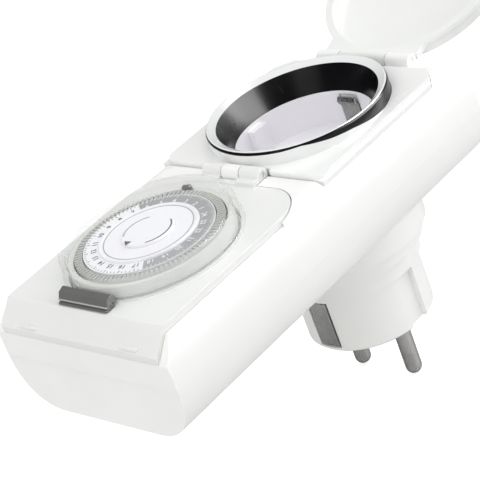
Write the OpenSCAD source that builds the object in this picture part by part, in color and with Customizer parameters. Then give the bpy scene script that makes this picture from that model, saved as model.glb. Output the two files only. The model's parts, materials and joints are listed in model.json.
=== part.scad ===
// Two-gang plug-in timer switch: a mechanical 24-hour dial under a hinged
// clear-domed lid, a covered earthed socket behind it and an earthed plug below.
// Millimetres, +Z up. Origin: centre of the plug's front face, between its pins.
// +Y runs along the body from the dial to the socket's hinge end.

/* [Body] */
// Largest width of the housing, at its seam
body_w = 62.6; // [60:0.2:68]
// Length of the housing from the plug axis to the dial end
near_len = 94.5; // [93:0.5:99]
// Length of the housing from the plug axis to the hinge end
far_len = 35; // [34:0.5:40]
// Height of the upper shell
upper_h = 15.5; // [15.2:0.1:18]
// Height of the lower shell
lower_h = 15.3; // [15.3:0.1:18]
// Wall thickness of both shells
wall = 2.2; // [1.9:0.1:2.4]
// Thickness of the deck below the lids
deck_t = 2; // [1.8:0.1:2.2]
// Length of the sloping nose of the dial end
slope_len = 5.4; // [4.8:0.2:5.8]
// Drop of the sloping nose
slope_drop = 5.7; // [5:0.1:6]
// Thread radius of the housing screws
screw_r = 1.4; // [1.2:0.1:1.6]
// Head radius of the housing screws
screw_head_r = 2.6; // [2.4:0.1:2.8]

/* [Plug] */
// Diameter of the plug body
plug_d = 37; // [36:0.5:37.5]
// Length of the plug body that enters a wall socket
plug_h = 17.7; // [17:0.1:18.5]
// Height of the stepped collar between the plug body and the housing
boss_h = 16.2; // [15.6:0.1:18]
// Diameter of each pin
pin_d = 4.8; // [4.7:0.1:4.9]
// Free length of each pin
pin_len = 19; // [18.5:0.5:19.5]
// Distance between the pin axes
pin_pitch = 19; // [18.5:0.5:19.5]
// Width of the guide groove on each side of the plug
groove_w = 6.5; // [5:0.5:7]
// Depth of the guide groove
groove_depth = 2; // [1.5:0.1:2.2]
// Width of the earth clips
clip_w = 6.2; // [5.4:0.2:6.6]
// Thickness of the earth clips
clip_t = 1.2; // [1:0.1:1.3]

/* [Socket] */
// Diameter of the socket recess
recess_d = 39.2; // [39:0.1:39.6]
// Depth of the recess below the rim of the seal collar
recess_depth = 18.3; // [18.2:0.1:18.7]
// Thickness of the recess floor
floor_t = 2.5; // [2:0.1:3]
// Wall thickness of the recess cup
cup_wall = 1.8; // [1.6:0.1:1.9]
// Diameter of the pin holes
hole_d = 5.6; // [5.4:0.1:6]
// Outer diameter of the seal collar
collar_d = 51.2; // [50.8:0.1:51.6]
// Width of the collar's sloping rim, outside its flared mouth
collar_rim = 2.8; // [2.5:0.1:3]
// Height of the collar above the housing
collar_h = 5.3; // [4.8:0.1:5.5]

/* [Dial] */
// Distance from the plug axis to the dial axis
dial_off = 61.5; // [61.5:0.1:62]
// Radius of the numbered dial
dial_r = 17.6; // [17.4:0.1:17.7]
// Number of switching tappets round the dial
tappet_count = 96; // [48, 96]
// Thickness of a tappet along the ring
tappet_w = 0.85; // [0.6:0.05:0.9]
// Teeth of the dial gear
dial_teeth = 60; // [60]
// Teeth of the idler wheel
idler_teeth = 40; // [40]
// Teeth of each pinion
pinion_teeth = 10; // [10]
// Gear module
gear_module = 0.5; // [0.5]

/* [Lids] */
// Thickness of the lid plates
lid_t = 2; // [1.8:0.1:2.2]
// Half width of the lid over the dial
lid_half_w = 28.3; // [28:0.1:28.5]
// Wall thickness of the clear dome's foot
dome_wall = 1.7; // [1.5:0.1:2.1]
// Height of the clear dome above the lid
dome_h = 6.9; // [6.8:0.1:7.4]
// Radius of the dial lid's far corners
lid_corner_r = 12; // [10:0.5:13]
// Half width of the dial lid's hinge tongue
dial_tongue_half_w = 10; // [9:0.5:11]
// Half width of the socket lid's hinge tongue
tongue_half_w = 16.5; // [15:0.5:18]
// Radius of the hinge barrels
barrel_r = 2; // [1.8:0.1:2.1]
// Radius of the hinge pins
hinge_pin_r = 0.9; // [0.8:0.05:1]
// Opening angle at which the socket lid rests
socket_lid_open = 160; // [120:5:165]
// Half width of the lid latch
latch_half_w = 8.8; // [8.4:0.1:9.2]

/* [Hidden] */
$fn = 96;

// clearances
run_gap = 0.05;        // radial clearance of a running fit
seat_gap = 0.02;       // clearance between fixed pieces
free_gap = 0.3;        // clearance between pieces that pass each other
over = 1;              // how far a cutter reaches past what it cuts
tiny = 0.01;

// heights
body_z0 = plug_h + boss_h;
seam_z = body_z0 + lower_h;
top_z = seam_z + upper_h;
inner_floor_z = body_z0 + wall;
lid_under = top_z - lid_t;
deck_z = lid_under - 0.1;
deck_under = deck_z - deck_t;
surround_t = 1.5;
surround_groove = 0.5;
surround_corner_r = 4;
surround_far_r = 36;
socket_deck_z = top_z - surround_t;

// places along the body
near_y = -near_len;
far_y = far_len;
dial_y = -dial_off;
surround_far_y = collar_d / 2 + 1;
surround_near_y = -collar_d / 2 - 1;
surround_lip_z = top_z + 1.4;
hinge_z = top_z + 1.2;
socket_hinge_y = collar_d / 2 + 4.7;
nose_far_y = near_y + slope_len;

// cross-section of the shells: superellipse flanks on a flat top and bottom
top_flat_x = body_w / 2 - 6.3;
top_flank_power = 3;
base_flat_x = body_w / 2 - 14.3;
base_flank_power = 2.2;
flank_steps = 12;

// round sizes
pin_r = pin_d / 2;
plug_r = plug_d / 2;
recess_r = recess_d / 2;
cup_r = recess_r + cup_wall;
collar_r = collar_d / 2;
floor_z = top_z + collar_h - recess_depth;
floor_under = floor_z - floor_t;
cup_top_z = top_z - 2.9;
boss_r = [plug_r + 5.5, plug_r + 3.3, plug_r + 1.1];
boss_step = [0.38, 0.28];
boss_bore_r = plug_r - 1.5;
spigot_r = boss_bore_r - 0.2;
plug_cavity_r = plug_r - 3.3;
plug_sole_z = plug_h - 5.7;
pin_root_r = pin_r - 0.4;
spigot_top_z = plug_h + 8;

// movement sizes
bezel_wall = 1.4;
tappet_in_r = dial_r + free_gap;
tappet_out_r = tappet_in_r + 2.2;
bezel_in_r = tappet_out_r + 0.4;
bezel_r = bezel_in_r + bezel_wall;
bezel_top = top_z + 3.2;
bezel_floor_z = top_z - 8.6;
bezel_floor_t = 1.4;
bezel_floor_under = bezel_floor_z - bezel_floor_t;
flange_r = bezel_r + 4.1;
flange_t = 2;
dial_face_z = top_z + 4.1;
dial_step = 0.4;
dial_inner_r = dial_r - 4.2;
dial_plate_t = 1.5;
tappet_top = top_z + 3.9;
tappet_h = 7.2;
tappet_bottom = tappet_top - tappet_h;
tappet_pitch = 360 / tappet_count;
moving_first = 8;
moving_count = 8;
rim_wall = 1.7;
web_z = top_z - 4.8;
gear_z = top_z - 7.8;
gear_h = 2;
hub_r = 3.2;
arbor_r = 1.5;
gear_play = 0.1;
addendum = 0.8;
dedendum = 1.25;
backlash = 0.16;
pressure = 20;
idler_y = dial_y + gear_module * (dial_teeth + pinion_teeth) / 2 + gear_play;
motor_y = idler_y - gear_module * (idler_teeth + pinion_teeth) / 2 - gear_play;
idler_arbor_r = 0.8;
idler_shaft_r = 1.6;
idler_wheel_z = bezel_floor_under - 2.6;
idler_wheel_t = 1.6;
plate_drop = 5;
plate_z = bezel_floor_under - plate_drop;
plate_t = 1.6;
motor_r = dial_r - 3.1;
motor_shaft_r = 1;
post_r = 1.9;
post_x = 15.8;
post_y = 11.8;
movement_screw_r = 0.85;
movement_head_r = 1.8;

// switch sizes
switch_half_x = 10;
switch_near_y = near_y + wall + 2;
switch_depth = 6.5;
switch_top_z = top_z - 9.2;
switch_h = 9.8;
lever_y = near_y + 5.6;
lever_z = top_z - 7.3;
lever_half_w = 2.3;
lever_t = 1;
lever_tip_r = (tappet_in_r + tappet_out_r) / 2;
lever_barrel_r = 1.2;
lever_pin_r = 0.6;
plunger_y = lever_y + 3;
plunger_r = 1.1;

// latch places
latch_pivot_y = near_y + 8.1;
latch_pivot_z = top_z + 1.1;
latch_pin_r = 0.6;
latch_wall = 1.2;
latch_near_y = latch_pivot_y - 1.7;
latch_far_y = latch_pivot_y + 1.65;
latch_top = top_z + 3.5;
latch_crease_z = latch_top - 2.25;
latch_round = 0.9;
latch_lug_r = latch_pin_r + 0.25;

// dial lid and its hinge
window_gap = 0.4;      // air between the bezel and the dome
dome_in_r = bezel_r + window_gap;
dome_r = dome_in_r + dome_wall;
timer_hinge_y = dial_y + dome_r + 9.1;
timer_lid_far_y = timer_hinge_y - 3.4;
bridge_near_y = timer_lid_far_y + free_gap;
dial_barrel_far_y = timer_hinge_y + barrel_r;

// screws of the housing
screw_x = 22;
screw_near_y = near_y + 8;
screw_far_y = far_y - 6.5;
screw_boss_r = 3.4;

// ---------- profiles ----------

function flank(x0, z0, ax, az, power, steps) = [
    for (i = [0 : steps])
        let (t = 90 * i / steps)
        [x0 + ax * pow(cos(t), 2 / power), z0 + az * pow(sin(t), 2 / power)]
];

function mirrored(points) = [
    for (i = [len(points) - 1 : -1 : 0]) [-points[i][0], points[i][1]]
];

module top_section(inset) {
    right = flank(top_flat_x, seam_z, body_w / 2 - top_flat_x - inset, upper_h - inset,
                  top_flank_power, flank_steps);
    polygon(concat(right, mirrored(right)));
}

module base_section(inset) {
    right = flank(base_flat_x, seam_z, body_w / 2 - base_flat_x - inset, inset - lower_h,
                  base_flank_power, flank_steps);
    polygon(concat(right, mirrored(right)));
}

// Extrudes an XZ outline along Y from y0 to y1
module along_y(y0, y1) {
    translate([0, y1, 0]) rotate([90, 0, 0]) linear_extrude(y1 - y0) children();
}

// Extrudes a YZ outline along X from x0 to x1
module along_x(x0, x1) {
    translate([x0, 0, 0]) rotate([90, 0, 90]) linear_extrude(x1 - x0) children();
}

module box(low, high) {
    translate(low) cube(high - low);
}

module rod(low, r, h) {
    translate(low) cylinder(r = r, h = h);
}

// Cylinder along X from x0 to x1
module rod_x(x0, x1, y, z, r) {
    translate([x0, y, z]) rotate([0, 90, 0]) cylinder(r = r, h = x1 - x0);
}

module pipe(r_out, r_in, z0, z1) {
    rotate_extrude() translate([r_in, z0]) square([r_out - r_in, z1 - z0]);
}

module at_dial() {
    translate([0, dial_y, 0]) children();
}

module both_sides() {
    children();
    mirror([1, 0, 0]) children();
}

// ---------- gears ----------

function inv_deg(r, base) = let (a = acos(base / r)) tan(a) * 180 / PI - a;

// Half angle of a tooth at radius r
function tooth_half(teeth, r) =
    let (rp = gear_module * teeth / 2, base = rp * cos(pressure))
    90 / teeth - backlash / 2 / rp * 180 / PI + inv_deg(rp, base) - inv_deg(max(r, base), base);

function gear_points(teeth) =
    let (
        rp = gear_module * teeth / 2,
        base = rp * cos(pressure),
        root = rp - gear_module * dedendum,
        tip = rp + gear_module * addendum,
        foot = max(base, root),
        radii = [root, foot + tiny, (foot + tip) / 2, tip]
    )
    [for (k = [0 : teeth - 1], s = [-1, 1], i = [0 : 3])
        let (
            r = s < 0 ? radii[i] : radii[3 - i],
            a = k * 360 / teeth + s * tooth_half(teeth, r)
        )
        [r * cos(a), r * sin(a)]];

module gear(teeth, h) {
    linear_extrude(h) polygon(gear_points(teeth));
}

// ---------- housing ----------

module screw_places() {
    both_sides() {
        translate([screw_x, screw_near_y, 0]) children();
        translate([screw_x, screw_far_y, 0]) children();
    }
}

post_limit_x = top_flat_x + 1;

module movement_posts() {
    post_ring_r = flange_r - 1.8;
    foot_z = inner_floor_z - tiny;
    both_sides() {
        rod([post_ring_r, dial_y, foot_z], 1.6, deck_under - flange_t - foot_z);
        rod([post_ring_r / 2, dial_y + post_ring_r * sin(60), foot_z], 1.6,
            deck_under - flange_t - foot_z);
    }
}

// Stepped rings between the plug body and the lower shell, saddled to its flanks
module plug_collar() {
    z1 = body_z0 - boss_h * boss_step[0];
    z2 = z1 - boss_h * boss_step[1];
    color("whitesmoke") difference() {
        union() {
            rod([0, 0, z1], boss_r[0], body_z0 + lower_h / 2 - z1);
            rod([0, 0, z2], boss_r[1], z1 - z2 + tiny);
            rod([0, 0, plug_h], boss_r[2], z2 - plug_h + tiny);
        }
        along_y(-body_w, body_w) base_section(-seat_gap);
        rod([0, 0, plug_h - over], boss_bore_r, boss_h + wall + over);
    }
}

module lower_housing() {
    color("whitesmoke") difference() {
        union() {
            difference() {
                along_y(near_y, far_y) base_section(0);
                along_y(near_y + wall, far_y - wall) base_section(wall);
                rod([0, 0, body_z0 - over], boss_bore_r, wall + 2 * over);
            }
            intersection() {
                union() {
                    movement_posts();
                    screw_places() rod([0, 0, body_z0 - over], screw_boss_r, lower_h + over);
                }
                union() {
                    along_y(near_y, far_y) base_section(0);
                    box([-post_limit_x, near_y, seam_z - tiny], [post_limit_x, far_y, top_z]);
                }
            }
        }
        gasket_ring(seat_gap);
        screw_places() {
            rod([0, 0, body_z0 - over], screw_r + free_gap, lower_h + 2 * over);
            rod([0, 0, body_z0 - over], screw_head_r + free_gap, over + 5);
        }
    }
}

// Plan of the dial lid with its rounded far corners, grown by a gap
module lid_plan(gap) {
    corner_x = lid_half_w - lid_corner_r;
    corner_y = timer_lid_far_y - lid_corner_r;
    high = top_z + upper_h;
    box([-lid_half_w - gap, near_y - over, body_z0], [lid_half_w + gap, corner_y, high]);
    box([-corner_x, near_y - over, body_z0], [corner_x, timer_lid_far_y + gap, high]);
    both_sides() rod([corner_x, corner_y, body_z0], lid_corner_r + gap, high - body_z0);
}

// What is cut away above the deck: lid recess and nose
module above_deck() {
    nose_drop = deck_z - slope_drop;
    intersection() {
        along_x(-body_w, body_w) polygon([
            [near_y - over, nose_drop - over * slope_drop / slope_len],
            [nose_far_y, deck_z],
            [bridge_near_y + over, deck_z],
            [bridge_near_y + over, top_z + over],
            [near_y - over, top_z + over]
        ]);
        union() {
            lid_plan(free_gap);
            box([-body_w, near_y - over, body_z0],
                [body_w, timer_lid_far_y - lid_corner_r, top_z + upper_h]);
        }
    }
}

module far_slope() {
    along_x(-body_w, body_w) polygon([
        [socket_hinge_y - 0.6, top_z + tiny],
        [far_y + tiny, top_z - 11],
        [far_y + over, top_z - 11],
        [far_y + over, top_z + over]
    ]);
}

module upper_cavity() {
    intersection() {
        along_y(near_y + wall, far_y - wall) top_section(wall);
        along_x(-body_w, body_w) polygon([
            [near_y + wall, seam_z - over],
            [near_y + wall, deck_under - slope_drop + 1.2],
            [nose_far_y + 0.6, deck_under],
            [socket_hinge_y - 1, deck_under],
            [far_y - wall, deck_under - 9],
            [far_y - wall, seam_z - over]
        ]);
    }
}

// Plan of the outlet's plate, whose far corners follow an arc about the outlet
module surround_plan(gap) {
    high = top_z + upper_h;
    rod([0, 0, body_z0], surround_far_r + gap, high - body_z0);
    box([-body_w, near_y, body_z0], [body_w, 0, high]);
}

// Middle knuckle of the dial lid's hinge
module dial_knuckle() {
    half = dial_tongue_half_w / 3 - free_gap;
    rod_x(-half, half, timer_hinge_y, hinge_z, barrel_r);
    box([-half, timer_hinge_y - barrel_r, top_z - 2.4], [half, dial_barrel_far_y, hinge_z]);
}

module upper_housing() {
    color("whitesmoke") difference() {
        union() {
            difference() {
                along_y(near_y, far_y) top_section(0);
                upper_cavity();
                above_deck();
                far_slope();
                intersection() {
                    surround_plan(0.1);
                    box([-body_w, surround_near_y - surround_groove, socket_deck_z],
                        [body_w, surround_far_y + 0.1, top_z + over]);
                }
                // recess for the dial lid's tongue and barrel
                box([-dial_tongue_half_w - free_gap, bridge_near_y - over, lid_under - 0.2],
                    [dial_tongue_half_w + free_gap, dial_barrel_far_y + 0.4, top_z + over]);
                // recess for the socket lid's barrel
                box([-tongue_half_w - free_gap, socket_hinge_y - barrel_r - 0.6, top_z - 1.6],
                    [tongue_half_w + free_gap, far_y + over, top_z + over]);
            }
            dial_knuckle();
            both_sides() socket_knuckle();
            intersection() {
                screw_places() rod([0, 0, seam_z], screw_boss_r, upper_h);
                along_y(near_y + wall / 2, far_y - wall / 2) top_section(wall / 2);
                along_x(-body_w, body_w) polygon([
                    [near_y + wall / 2, seam_z],
                    [near_y + wall / 2, deck_under - slope_drop + 2],
                    [nose_far_y + 0.6, deck_under + 1],
                    [socket_hinge_y - 1, deck_under + 1],
                    [far_y - wall / 2, deck_under - 9],
                    [far_y - wall / 2, seam_z]
                ]);
            }
        }
        at_dial() rod([0, 0, seam_z], bezel_r + free_gap, upper_h + over);
        rod([0, 0, seam_z], cup_r + free_gap, upper_h + over);
        rod_x(-dial_tongue_half_w, dial_tongue_half_w, timer_hinge_y, hinge_z,
              hinge_pin_r + seat_gap);
        rod_x(-tongue_half_w - over, tongue_half_w + over, socket_hinge_y, hinge_z,
              hinge_pin_r + seat_gap);
        at_dial() translate([0, 0, deck_z]) pipe(seal_out_r + seat_gap, seal_in_r - seat_gap,
                                                -seal_depth, over);
        screw_places() rod([0, 0, seam_z - over], screw_r + seat_gap, over + 6);
        latch_slots();
    }
}

module socket_knuckle() {
    x0 = tongue_half_w / 2 + free_gap;
    rod_x(x0, tongue_half_w, socket_hinge_y, hinge_z, barrel_r);
    along_x(x0, tongue_half_w) polygon([
        [socket_hinge_y - barrel_r, hinge_z],
        [socket_hinge_y - barrel_r, top_z - 2.4],
        [socket_hinge_y + barrel_r, top_z - 5.4],
        [socket_hinge_y + barrel_r, hinge_z]
    ]);
}

latch_leg_x0 = latch_half_w - latch_wall - 1.2;
latch_leg_x1 = latch_half_w - 0.6;
latch_hook_y = latch_pivot_y + 0.6;

module latch_slots() {
    both_sides() box([latch_leg_x0 - free_gap, latch_hook_y - 3.7, seam_z + 4],
                     [latch_leg_x1 + free_gap, latch_hook_y + free_gap, top_z]);
}

gasket_w = 1;
gasket_inset = 0.6;

module gasket_ring(gap) {
    x1 = body_w / 2 - gasket_inset + gap;
    difference() {
        box([-x1, near_y + gasket_inset - gap, seam_z - gasket_w - gap],
            [x1, far_y - gasket_inset + gap, seam_z + (gap > 0 ? over : 0)]);
        box([-x1 + gasket_w + 2 * gap, near_y + gasket_inset + gasket_w + gap, body_z0],
            [x1 - gasket_w - 2 * gap, far_y - gasket_inset - gasket_w - gap, top_z]);
    }
}

module housing_gasket() {
    color("dimgray") gasket_ring(0);
}

module housing_screws() {
    color("silver") screw_places() difference() {
        union() {
            rod([0, 0, body_z0 + 2.2], screw_head_r, 1.8);
            rod([0, 0, body_z0 + 4], screw_r, lower_h + 1);
        }
        translate([0, 0, body_z0 + 2.2]) {
            cube([2.6, 0.6, 2], center = true);
            cube([0.6, 2.6, 2], center = true);
        }
    }
}

// ---------- plug ----------

module plug_body() {
    edge = 0.8;
    color("white") difference() {
        union() {
            rotate_extrude() polygon([
                [0, 0], [plug_r - edge, 0], [plug_r, edge], [plug_r, plug_h], [0, plug_h]
            ]);
            rod([0, 0, plug_h], spigot_r, spigot_top_z - plug_h);
        }
        rod([0, 0, plug_sole_z], plug_cavity_r, spigot_top_z);
        both_sides() {
            box([plug_r - groove_depth, -groove_w / 2, -over],
                [plug_r + over, groove_w / 2, plug_h - tiny]);
            rod([pin_pitch / 2, 0, -over], pin_root_r + seat_gap, plug_sole_z + 2 * over);
        }
        for (side = [-1, 1]) mirror([0, side > 0 ? 0 : 1, 0]) {
            box([-clip_w / 2 - 0.7, plug_r - clip_t - 0.5, 1.5],
                [clip_w / 2 + 0.7, plug_r + over, plug_h - 1]);
            box([-clip_w / 2 - 0.1, plug_cavity_r - over, plug_sole_z + 1 - 0.1],
                [clip_w / 2 + 0.1, plug_r, plug_h - 1]);
        }
    }
}

module contact_pin(side) {
    translate([side * pin_pitch / 2, 0, 0]) {
        rod([0, 0, -pin_len + pin_r], pin_r, pin_len - pin_r);
        rod([0, 0, -tiny], pin_root_r, plug_sole_z + 2 * tiny);
        translate([0, 0, -pin_len + pin_r]) sphere(r = pin_r);
        rod([0, 0, plug_sole_z], pin_r + 0.8, 2);
    }
}

module line_pin() {
    color("silver") contact_pin(1);
}

module neutral_pin() {
    color("silver") contact_pin(-1);
}

clip_leg_z = plug_sole_z + 1;
clip_foot_y = 11.5;

module plug_earth_clip(side) {
    outer = plug_r - 0.2;
    inner = outer - clip_t;
    mirror([0, side > 0 ? 0 : 1, 0]) {
        along_x(-clip_w / 2, clip_w / 2) polygon([
            [inner, 2.6], [inner + 0.5, 1.9], [outer - 0.2, 1.9], [outer, 2.8],
            [outer, plug_h - 1.3], [inner, plug_h - 1.3]
        ]);
        box([-clip_w / 2, clip_foot_y, clip_leg_z], [clip_w / 2, inner + tiny, clip_leg_z + clip_t]);
    }
}

module plug_earth_clip_near() {
    color("silver") plug_earth_clip(-1);
}

module plug_earth_clip_far() {
    color("silver") plug_earth_clip(1);
}

// ---------- conductors ----------

strip_t = 0.8;
strap_half_w = 2.6;
contact_z0 = floor_under - pin_len + 1.6;
contact_z1 = floor_under - 0.4;
contact_r = pin_r + 1.2;
run_x = 17.3;
run_z0 = body_z0 + 4.2;
run_z1 = run_z0 + 4;
earth_bar_z = floor_under - 2.6;
riser_y = -9.6;

module earth_strap() {
    z0 = clip_leg_z + clip_t;
    color("gold") {
        box([-strap_half_w, -clip_foot_y - 2, z0], [strap_half_w, clip_foot_y + 2, z0 + strip_t]);
        box([-strap_half_w, riser_y, z0], [strap_half_w, riser_y + strip_t, earth_bar_z]);
    }
}

module tulip(side) {
    translate([side * pin_pitch / 2, 0, 0]) difference() {
        rod([0, 0, contact_z0], contact_r, contact_z1 - contact_z0);
        rod([0, 0, contact_z0 + 1.5], pin_r + run_gap, pin_len + over);
        translate([0, 0, contact_z1 - 1.2])
            cylinder(r1 = pin_r + run_gap, r2 = pin_r + 0.6, h = 1.2 + tiny);
        for (turn = [0, 90]) rotate([0, 0, turn + 45])
            translate([0, 0, contact_z0 + 5 + pin_len / 2])
                cube([pin_d * 2, strip_t, pin_len], center = true);
    }
}

module line_contact() {
    color("gold") tulip(1);
}

module neutral_contact() {
    color("gold") tulip(-1);
}

module neutral_busbar() {
    x = pin_pitch / 2;
    color("goldenrod")
        box([-x - 2, -strip_t / 2, plug_sole_z + 2], [-x + 2, strip_t / 2, contact_z0]);
}

switch_tab_y = switch_near_y + switch_depth - 2.2;

module line_busbar() {
    x = pin_pitch / 2;
    bend_z = contact_z0 - 6.8;
    up_x = boss_bore_r - 2.2;
    color("goldenrod") {
        box([x - 0.4, -2, plug_sole_z + 2], [x + 0.4, 2, bend_z]);
        box([x - 0.4, -2, bend_z - strip_t], [up_x, 2, bend_z]);
        box([up_x - strip_t, -2, bend_z - strip_t], [up_x, 2, run_z1]);
        box([up_x - strip_t, -2, run_z1 - strip_t], [run_x + strip_t, 2, run_z1]);
        box([run_x, switch_tab_y, run_z0], [run_x + strip_t, 2, run_z1]);
        box([switch_half_x, switch_tab_y, run_z0], [run_x + strip_t, switch_tab_y + strip_t, run_z1]);
    }
}

module switched_busbar() {
    x = pin_pitch / 2;
    drop_inset = 4.8;
    drop_y = drop_inset - boss_bore_r;
    color("goldenrod") {
        box([x - 2, drop_y, contact_z0 - strip_t], [x + 2, 1, contact_z0]);
        box([x - 2, drop_y, contact_z0 - strip_t], [x + 2, drop_y + strip_t, run_z0 + 8]);
        box([-run_x - strip_t, drop_y, run_z0 + 5.6], [x + 2, drop_y + strip_t, run_z0 + 8]);
        box([-run_x - strip_t, drop_y, run_z0], [-run_x, drop_y + strip_t, run_z0 + 8]);
        box([-run_x - strip_t, switch_tab_y, run_z0], [-run_x, drop_y + strip_t, run_z1]);
        box([-run_x - strip_t, switch_tab_y, run_z0],
            [-switch_half_x, switch_tab_y + strip_t, run_z1]);
    }
}

// ---------- socket ----------

module socket_insert() {
    rib_w = groove_w - 1;
    rib_x = plug_r - groove_depth + 0.7;
    color("lightgray") difference() {
        union() {
            pipe(cup_r, recess_r, floor_under, cup_top_z);
            rod([0, 0, floor_under], cup_r - tiny, floor_t);
            pipe(cup_r + 3, recess_r, deck_under - 2, deck_under);
            both_sides() intersection() {
                box([rib_x, -rib_w / 2, floor_z - tiny], [cup_r, rib_w / 2, cup_top_z - 1.2]);
                rod([0, 0, floor_z - tiny], recess_r + cup_wall / 2, cup_top_z - floor_z);
            }
        }
        both_sides() rod([pin_pitch / 2, 0, floor_under - over], hole_d / 2, floor_t + 2 * over);
        for (side = [-1, 1]) mirror([0, side > 0 ? 0 : 1, 0])
            box([-clip_w / 2 - 0.2, recess_r - clip_t - 0.2, floor_under - over],
                [clip_w / 2 + 0.2, recess_r + 0.3, floor_z + over]);
        for (side = [-1, 1]) mirror([0, side > 0 ? 0 : 1, 0])
            box([-clip_w / 2 - 0.2, recess_r - over, floor_z],
                [clip_w / 2 + 0.2, recess_r + 0.5, cup_top_z - 1]);
    }
}

module socket_collar() {
    mouth_r = collar_r - collar_rim;
    rim_drop = 1.1;
    rim_round = 0.5;
    color([0.08, 0.08, 0.09]) rotate_extrude() polygon([
        [recess_r, cup_top_z],
        [cup_r, cup_top_z],
        [cup_r, socket_deck_z],
        [collar_r, socket_deck_z],
        [collar_r, top_z + collar_h - rim_round],
        [collar_r - rim_round, top_z + collar_h],
        [mouth_r, top_z + collar_h - rim_drop]
    ]);
}

// Plate let into the housing, with a raised field that has rounded corners
module socket_surround() {
    half_w = lid_half_w + 0.8;
    field_x = lid_half_w - surround_corner_r;
    field_y0 = surround_near_y + surround_corner_r;
    field_y1 = surround_far_y - surround_corner_r;
    field_h = surround_lip_z - socket_deck_z;
    color([0.88, 0.89, 0.86]) difference() {
        intersection() {
            surround_plan(0);
            union() {
                box([-half_w, surround_near_y, socket_deck_z], [half_w, surround_far_y, top_z]);
                box([-lid_half_w, field_y0, socket_deck_z],
                    [lid_half_w, field_y1, surround_lip_z]);
                box([-field_x, surround_near_y, socket_deck_z],
                    [field_x, surround_far_y, surround_lip_z]);
                both_sides() for (y = [field_y0, field_y1])
                    rod([field_x, y, socket_deck_z], surround_corner_r, field_h);
            }
        }
        rod([0, 0, socket_deck_z - over], collar_r + 0.1, field_h + 2 * over);
        // notch for the barrel of the dial lid
        box([-dial_tongue_half_w - 0.8, surround_near_y - over, socket_deck_z - over],
            [dial_tongue_half_w + 0.8, dial_barrel_far_y + 0.8, surround_lip_z + over]);
    }
}

module socket_earth_clip() {
    outer = recess_r - 0.1;
    color("silver") {
        box([-strap_half_w, -outer, earth_bar_z], [strap_half_w, outer, earth_bar_z + strip_t]);
        for (side = [-1, 1]) mirror([0, side > 0 ? 0 : 1, 0])
            along_x(-clip_w / 2, clip_w / 2) polygon([
                [outer - strip_t, earth_bar_z], [outer, earth_bar_z],
                [outer, cup_top_z - 4], [outer - 1.0, cup_top_z - 2.6],
                [outer - 0.6, cup_top_z - 1.4],
                [outer - 1.4, cup_top_z - 1.4], [outer - 1.9, cup_top_z - 2.6],
                [outer - strip_t, cup_top_z - 4.4]
            ]);
    }
}

// ---------- movement ----------

module movement_bezel() {
    color([0.72, 0.73, 0.70]) at_dial() difference() {
        union() {
            pipe(bezel_r, bezel_in_r, bezel_floor_under, bezel_top);
            rod([0, 0, bezel_floor_under], bezel_r - tiny, bezel_floor_t);
            pipe(flange_r, bezel_r - bezel_wall / 2, deck_under - flange_t, deck_under);
            both_sides() for (side = [-1, 1])
                rod([post_x, side * post_y, plate_z + plate_t], post_r,
                    bezel_floor_under - plate_z - plate_t + tiny);
        }
        rod([0, 0, bezel_floor_under - over], arbor_r + seat_gap, bezel_floor_t + 2 * over);
        // idler shaft passes the floor, its pinion dips into the wall
        rod([0, idler_y - dial_y, bezel_floor_under - over], idler_shaft_r + free_gap,
            bezel_floor_t + 2 * over);
        rod([0, idler_y - dial_y, bezel_floor_z], pinion_relief_r, 4);
        // window for the switch lever
        box([-lever_half_w - free_gap, -bezel_r - over, bezel_floor_under - over],
            [lever_half_w + free_gap, -lever_tip_r + 2.4, top_z - 6.3]);
        both_sides() {
            for (side = [-1, 1])
                rod([post_x, side * post_y, plate_z], movement_screw_r + seat_gap,
                    bezel_floor_under - plate_z);
            // notches for the legs of the latch
            box([latch_leg_x0 - free_gap, -flange_r - over, deck_under - flange_t - over],
                [latch_leg_x1 + free_gap, latch_hook_y + free_gap - dial_y, deck_under + over]);
        }
        override_slot();
    }
}

pinion_relief_r = gear_module * (pinion_teeth / 2 + addendum) + 0.35;
override_a0 = 100;
override_travel = 12;
override_w = 8;
override_r0 = bezel_in_r + 0.45;
override_r1 = bezel_r - 0.35;

// Wedge of a ring between two angles
module ring_sector(r_in, r_out, a0, a1, z0, z1) {
    rotate([0, 0, a0]) rotate_extrude(angle = a1 - a0)
        translate([r_in, z0]) square([r_out - r_in, z1 - z0]);
}

module override_slot() {
    ring_sector(override_r0 - run_gap, override_r1 + run_gap, override_a0 - 1,
                override_a0 + override_w + override_travel + 1, bezel_top - 2, bezel_top + over);
}

module override_slider() {
    color([0.25, 0.26, 0.25]) at_dial() {
        ring_sector(override_r0, override_r1, override_a0, override_a0 + override_w,
                    bezel_top - 1.9, bezel_top + 0.9);
        ring_sector(bezel_in_r + 0.1, bezel_r - 0.1, override_a0 + 1, override_a0 + override_w - 1,
                    bezel_top + 0.1, bezel_top + 1.3);
    }
}

module movement_plate() {
    half_x = post_x + post_r + 0.2;
    half_y = post_y + post_r + 0.5;
    tongue_half = 5;
    tongue_end = idler_y - dial_y + 3;
    color("tan") at_dial() difference() {
        union() {
            box([-half_x, -half_y, plate_z], [half_x, half_y, plate_z + plate_t]);
            box([-tongue_half, 0, plate_z], [tongue_half, tongue_end, plate_z + plate_t]);
        }
        rod([0, motor_y - dial_y, plate_z - over], motor_shaft_r + 0.5, plate_t + 2 * over);
        rod([0, idler_y - dial_y, plate_z - over], idler_arbor_r + seat_gap, plate_t + 2 * over);
        both_sides() for (side = [-1, 1])
            rod([post_x, side * post_y, plate_z - over], movement_screw_r + 0.1, plate_t + 2 * over);
    }
}

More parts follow.
